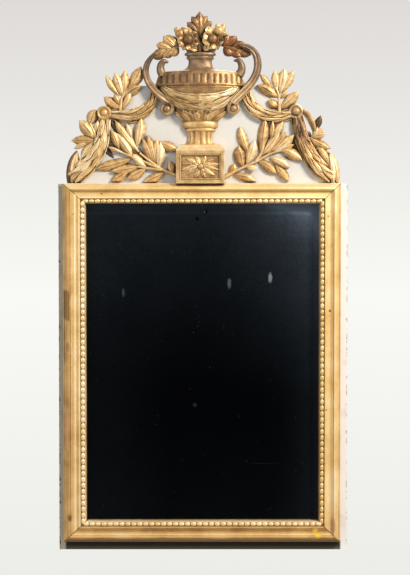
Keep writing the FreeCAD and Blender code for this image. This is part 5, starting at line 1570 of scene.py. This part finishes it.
NECK = (
    (14.2, 53.2), (15.4, 53.8), (15.8, 55), (15.2, 56.2), (13.4, 56.8), (13.2, 57.6), (14.0, 58.4),
    (13.6, 59.6), (12.2, 60.2), (11.6, 62), (11.8, 65), (13.2, 68), (16, 70), (21, 71.6),
)
neck = Carving()
turned(neck, stretched(NECK), tone=-0.3)
neck.finish("urn_neck_turning", rubbed_gilding, "urn_neck")

# %% [markdown]
# The body is a band of short flutes with round ends. Their places were read one by one, because
# the carver spaced them by eye, and between them the band swells a little.

# %% Fluted band
BODY = (
    (20, 71.2), (30, 71.8), (38, 72.8), (40.4, 73.6), (41.2, 75), (43.0, 80), (44.4, 84.6), (45.0, 85.6),
    (45.2, 86.4), (44.4, 87.2), (42.6, 87.8),
)
FLUTES_PX = (161.2, 167.2, 173.6, 180.2, 187, 194, 201, 207.5, 214.1, 220.2, 226, 232.2, 237.6, 241.6)
FLUTE_TOP, FLUTE_BOTTOM, FLUTE_HALF = 75.8, 85.2, 1.15
FLUTE_DEPTH, PILLAR_SWELL, PILLAR_REACH = 2.4, 0.5, 1.6


def flute(px, py, angle):
    """How deep the band is cut here, below zero where it swells."""
    near = min(abs(px - x) for x in FLUTES_PX)
    over = max(FLUTE_TOP + FLUTE_HALF - py, py - FLUTE_BOTTOM + FLUTE_HALF, 0)
    away = math.hypot(near, over) / FLUTE_HALF
    if away < 1:
        return FLUTE_DEPTH * math.sqrt(1 - away ** 2)
    return -PILLAR_SWELL * min(1, (near - FLUTE_HALF) / PILLAR_REACH) if FLUTE_TOP < py < FLUTE_BOTTOM else 0


body = Carving()
turned(body, stretched(BODY), flute, tone=-0.5, lit_side_tone=0.2)
body.finish("urn_fluted_band", bright_gilding, "urn_body")

# %% [markdown]
# The bowl is plain above and stands in a cup of two rows of leaves. They are laid leaves again,
# and the surface that carries them is the bowl itself.

# %% Bowl with its cup of leaves
BOWL = (
    (42.4, 87.6), (42.6, 88.4), (41.4, 89.2), (40.6, 92), (38.0, 95.2), (34, 99.6), (30.2, 103.4),
    (27.4, 107), (25.6, 110.5), (23.6, 114), (21.2, 117.5), (18.8, 120.4), (17, 122),
)
# For each row of the cup: its leaves, half a leaf in radians, the lift of its tip and the tip's height.
CUP_ROWS = ((9, 0.2, 1.6, 110.4), (10, 0.17, 2.6, 113.4))
CUP_SPAN, CUP_ROOT, CUP_TONES = math.radians(172), 121.6, (-0.3, -0.65)
ROOTS_CLOSER, TIPS_WIDER, CUP_BODY, CUP_SUNK, OUT_LIFT = 0.92, 1.02, 1.7, 1.0, 0.4


def bowl_radius(py):
    """The bowl's radius at this height, in pixels."""
    for (r0, y0), (r1, y1) in zip(BOWL, BOWL[1:]):
        if y0 <= py <= y1:
            return r0 + (r1 - r0) * (py - y0) / (y1 - y0)
    return BOWL[0][0] if py < BOWL[0][1] else BOWL[-1][0]


def on_bowl(along, angle, out):
    """A place on the bowl: its height is a pixel number here, and the angle starts at the front."""
    reach = bowl_radius(along) + out * MM / PIXEL
    rise = reach * math.cos(angle) * PRESS * PIXEL / MM + out * OUT_LIFT
    return spot(AXIS_PX + reach * math.sin(angle), along, max(-TURNED_SUNK, rise))


bowl = Carving()
turned(bowl, stretched(BOWL), tone=-0.4, lit_side_tone=0.2)
for count, half, lift, tip_height in CUP_ROWS:
    for i in range(count):
        angle = CUP_SPAN * ((i + 0.5) / count - 0.5)
        root, tip = (CUP_ROOT, angle * ROOTS_CLOSER), (tip_height, angle * TIPS_WIDER)
        laid_leaf(bowl, on_bowl, root, tip, half, lift, CUP_TONES[i % 2], CUP_BODY, CUP_SUNK)
bowl.finish("urn_bowl_turning", bright_gilding, "urn_bowl")

# %% [markdown]
# The foot is a ring moulding over a stem of reeds, round ridges with sharp valleys between them,
# which are the opposite of flutes.

# %% Foot
FOOT_RING = (
    (15.6, 121.6), (17.4, 122.2), (18.0, 123.6), (18.1, 125.4), (17.6, 127.2), (16, 128.2), (14.8, 128.6),
    (15.6, 129.6), (15.4, 131), (13.6, 131.8),
)
FOOT_STEM = ((13.4, 131.6), (12.6, 134), (12.2, 138), (12.8, 141.6), (14.6, 144), (17, 145.4))
REED_COUNT, REED_DEPTH = 6, 2.2


def reeds(px, py, angle):
    """How deep the valleys between the reeds are here."""
    return REED_DEPTH * (1 - abs(math.sin(REED_COUNT * angle)))


foot = Carving()
turned(foot, stretched(FOOT_RING, 0.7))
turned(foot, stretched(FOOT_STEM), reeds, tone=0.1)
foot.finish("urn_foot_turning", bright_gilding, "urn_foot")

# %% [markdown]
# A swag of laurel hangs across the bowl in two halves that meet below the middle. It is a rope
# of leaves whose ground is the bowl's own face, and flatter than the garlands.

# %% Swag on the bowl
SWAG_LEFT = ((161.5, 88.6), (167, 94), (174, 98.6), (182, 101.8), (191, 103.4), (200, 103.8), (204, 103.8))
SWAG_RIGHT = ((238.6, 88.4), (234.6, 93), (228, 97.8), (220, 101.2), (211, 103.2), (203, 103.8), (199, 103.8))
SWAG_RADII, SWAG_ROWS, SWAG_LEAF_SHARE = (2.2, 4.6, 6.0, 6.8, 7.2, 7.4), 7, 0.32
SWAG_HALVES = ((SWAG_LEFT, (0.3, -0.5, -0.35, -0.2)), (SWAG_RIGHT, (0.1, 0.5, -0.1, -0.2)))


def bowl_rise(px, py):
    """How far the bowl's face stands in front of the ground here."""
    return PRESS * PIXEL / MM * math.sqrt(max(bowl_radius(py) ** 2 - (px - AXIS_PX) ** 2, 0))


swag = Carving()
swag_dice = random.Random(21)
for route, tones in SWAG_HALVES:
    rope(swag, route, SWAG_RADII, SWAG_ROWS, SWAG_LEAF_SHARE, swag_dice, tones, depth=0.5, base=0.6, lift=1.5,
         under=bowl_rise)
swag.finish("urn_laurel_swag", bright_gilding, "urn_swag")

# %% [markdown]
# ## The pedestal
# The pedestal is a block with a sunk panel in front and a stepped cap. A cube with Bevel and
# Inset would do, but every arris here is eased by its own small step, so the block and the cap are
# lofted from rectangles, each a little smaller or higher than the last.

# %% Pedestal
PED_LEFT, PED_RIGHT, PED_TOP, PED_FOOT = 176.5, 224.5, 151.0, 183.6
PED_DEPTH, BORDER, SINK, EASE = 30.0, 4.6, 4.0, 1.0
PANEL_RISE, LOW_RISE = PED_DEPTH - SINK, PED_DEPTH - EASE
# Inset in pixels, rise in millimetres and tone, from the ground outward and then into the panel. The tone
# paints shade in the sunk steps and highlights on the arrises.
BLOCK_STEPS = (
    (0, -0.4, -0.4), (0, PED_DEPTH - 0.9, 0.3), (0.5, PED_DEPTH, 0.5), (1.0, PED_DEPTH, 0.05),
    (BORDER - 1.3, PED_DEPTH, 0.05), (BORDER - 1.0, LOW_RISE, -0.5), (BORDER - 0.6, LOW_RISE, -0.4),
    (BORDER - 0.2, PED_DEPTH - 0.2, 0.5), (BORDER + 0.2, PED_DEPTH - 0.8, 0.1),
    (BORDER + 0.5, PANEL_RISE, -0.4), (BORDER + 1.2, PANEL_RISE, -0.25),
)
# Inset, height on the photograph and depth, from the lowest step of the cap to the highest.
CAP_STEPS = (
    (-0.2, 151.4, 30.4), (0.0, 150.2, 30.4), (0.6, 149.4, 29.8), (1.0, 148.6, 28.4), (2.2, 148.0, 27.0),
    (2.8, 147.0, 26.4), (3.0, 146.0, 26.0), (4.0, 145.4, 24.4), (4.6, 144.8, 22),
)
CAP_TONE, WALL_SUNK = 0.3, 0.4

pedestal = Carving()
block = [[spot(PED_LEFT + i, PED_TOP + i, rise), spot(PED_RIGHT - i, PED_TOP + i, rise),
          spot(PED_RIGHT - i, PED_FOOT - i, rise), spot(PED_LEFT + i, PED_FOOT - i, rise)]
         for i, rise, _ in BLOCK_STEPS]
pedestal.loft(block, [tone for _, _, tone in BLOCK_STEPS for _ in range(4)])
cap = [[spot(PED_LEFT + i, py, -WALL_SUNK), spot(PED_RIGHT - i, py, -WALL_SUNK),
        spot(PED_RIGHT - i, py, depth), spot(PED_LEFT + i, py, depth)]
       for i, py, depth in CAP_STEPS]
pedestal.loft(cap, CAP_TONE)
pedestal.finish("pedestal_block", bright_gilding, "pedestal")

# %% [markdown]
# An oval flower of two rings of leaves fills the panel, with a button in its middle. Every second
# leaf is browner, which draws the leaves apart.

# %% Flower in the panel
ROSETTE_PX, ROSETTE_REACH = (200.6, 167.2), (19.6, 11.4)
PALE_LEAF, BROWN_LEAF = 0.15, -0.25
# Leaves, share of the reach, width, height in millimetres, and how far the ring is turned, in leaves.
ROSETTE_RINGS = ((12, 1.0, 6.4, 5.0, 0.5), (10, 0.66, 5.4, 8.0, 0.0))
ROSETTE_BUTTON = (
    (2.8, PANEL_RISE), (2.9, PED_DEPTH + 1.2), (2.4, PED_DEPTH + 2.6), (1.4, PED_DEPTH + 3.4),
    (0.4, PED_DEPTH + 3.6),
)
BUTTON_TONE, BUTTON_SPOKES = -0.3, 18

rosette = Carving()
middle_x, middle_y = ROSETTE_PX
reach_x, reach_y = ROSETTE_REACH
for count, share, width, height, turn in ROSETTE_RINGS:
    for i in range(count):
        angle = 2 * math.pi * (i + turn) / count
        tip = (middle_x + share * reach_x * math.cos(angle), middle_y + share * reach_y * math.sin(angle))
        leaf(rosette, tip, ROSETTE_PX, width, 0.4, (1.0, height, 1.5),
             PALE_LEAF if i % 2 else BROWN_LEAF, ground=PANEL_RISE)
boss(rosette, *ROSETTE_PX, ROSETTE_BUTTON, BUTTON_TONE, BUTTON_SPOKES)
rosette.finish("pedestal_flower", bright_gilding, "pedestal_rosette")
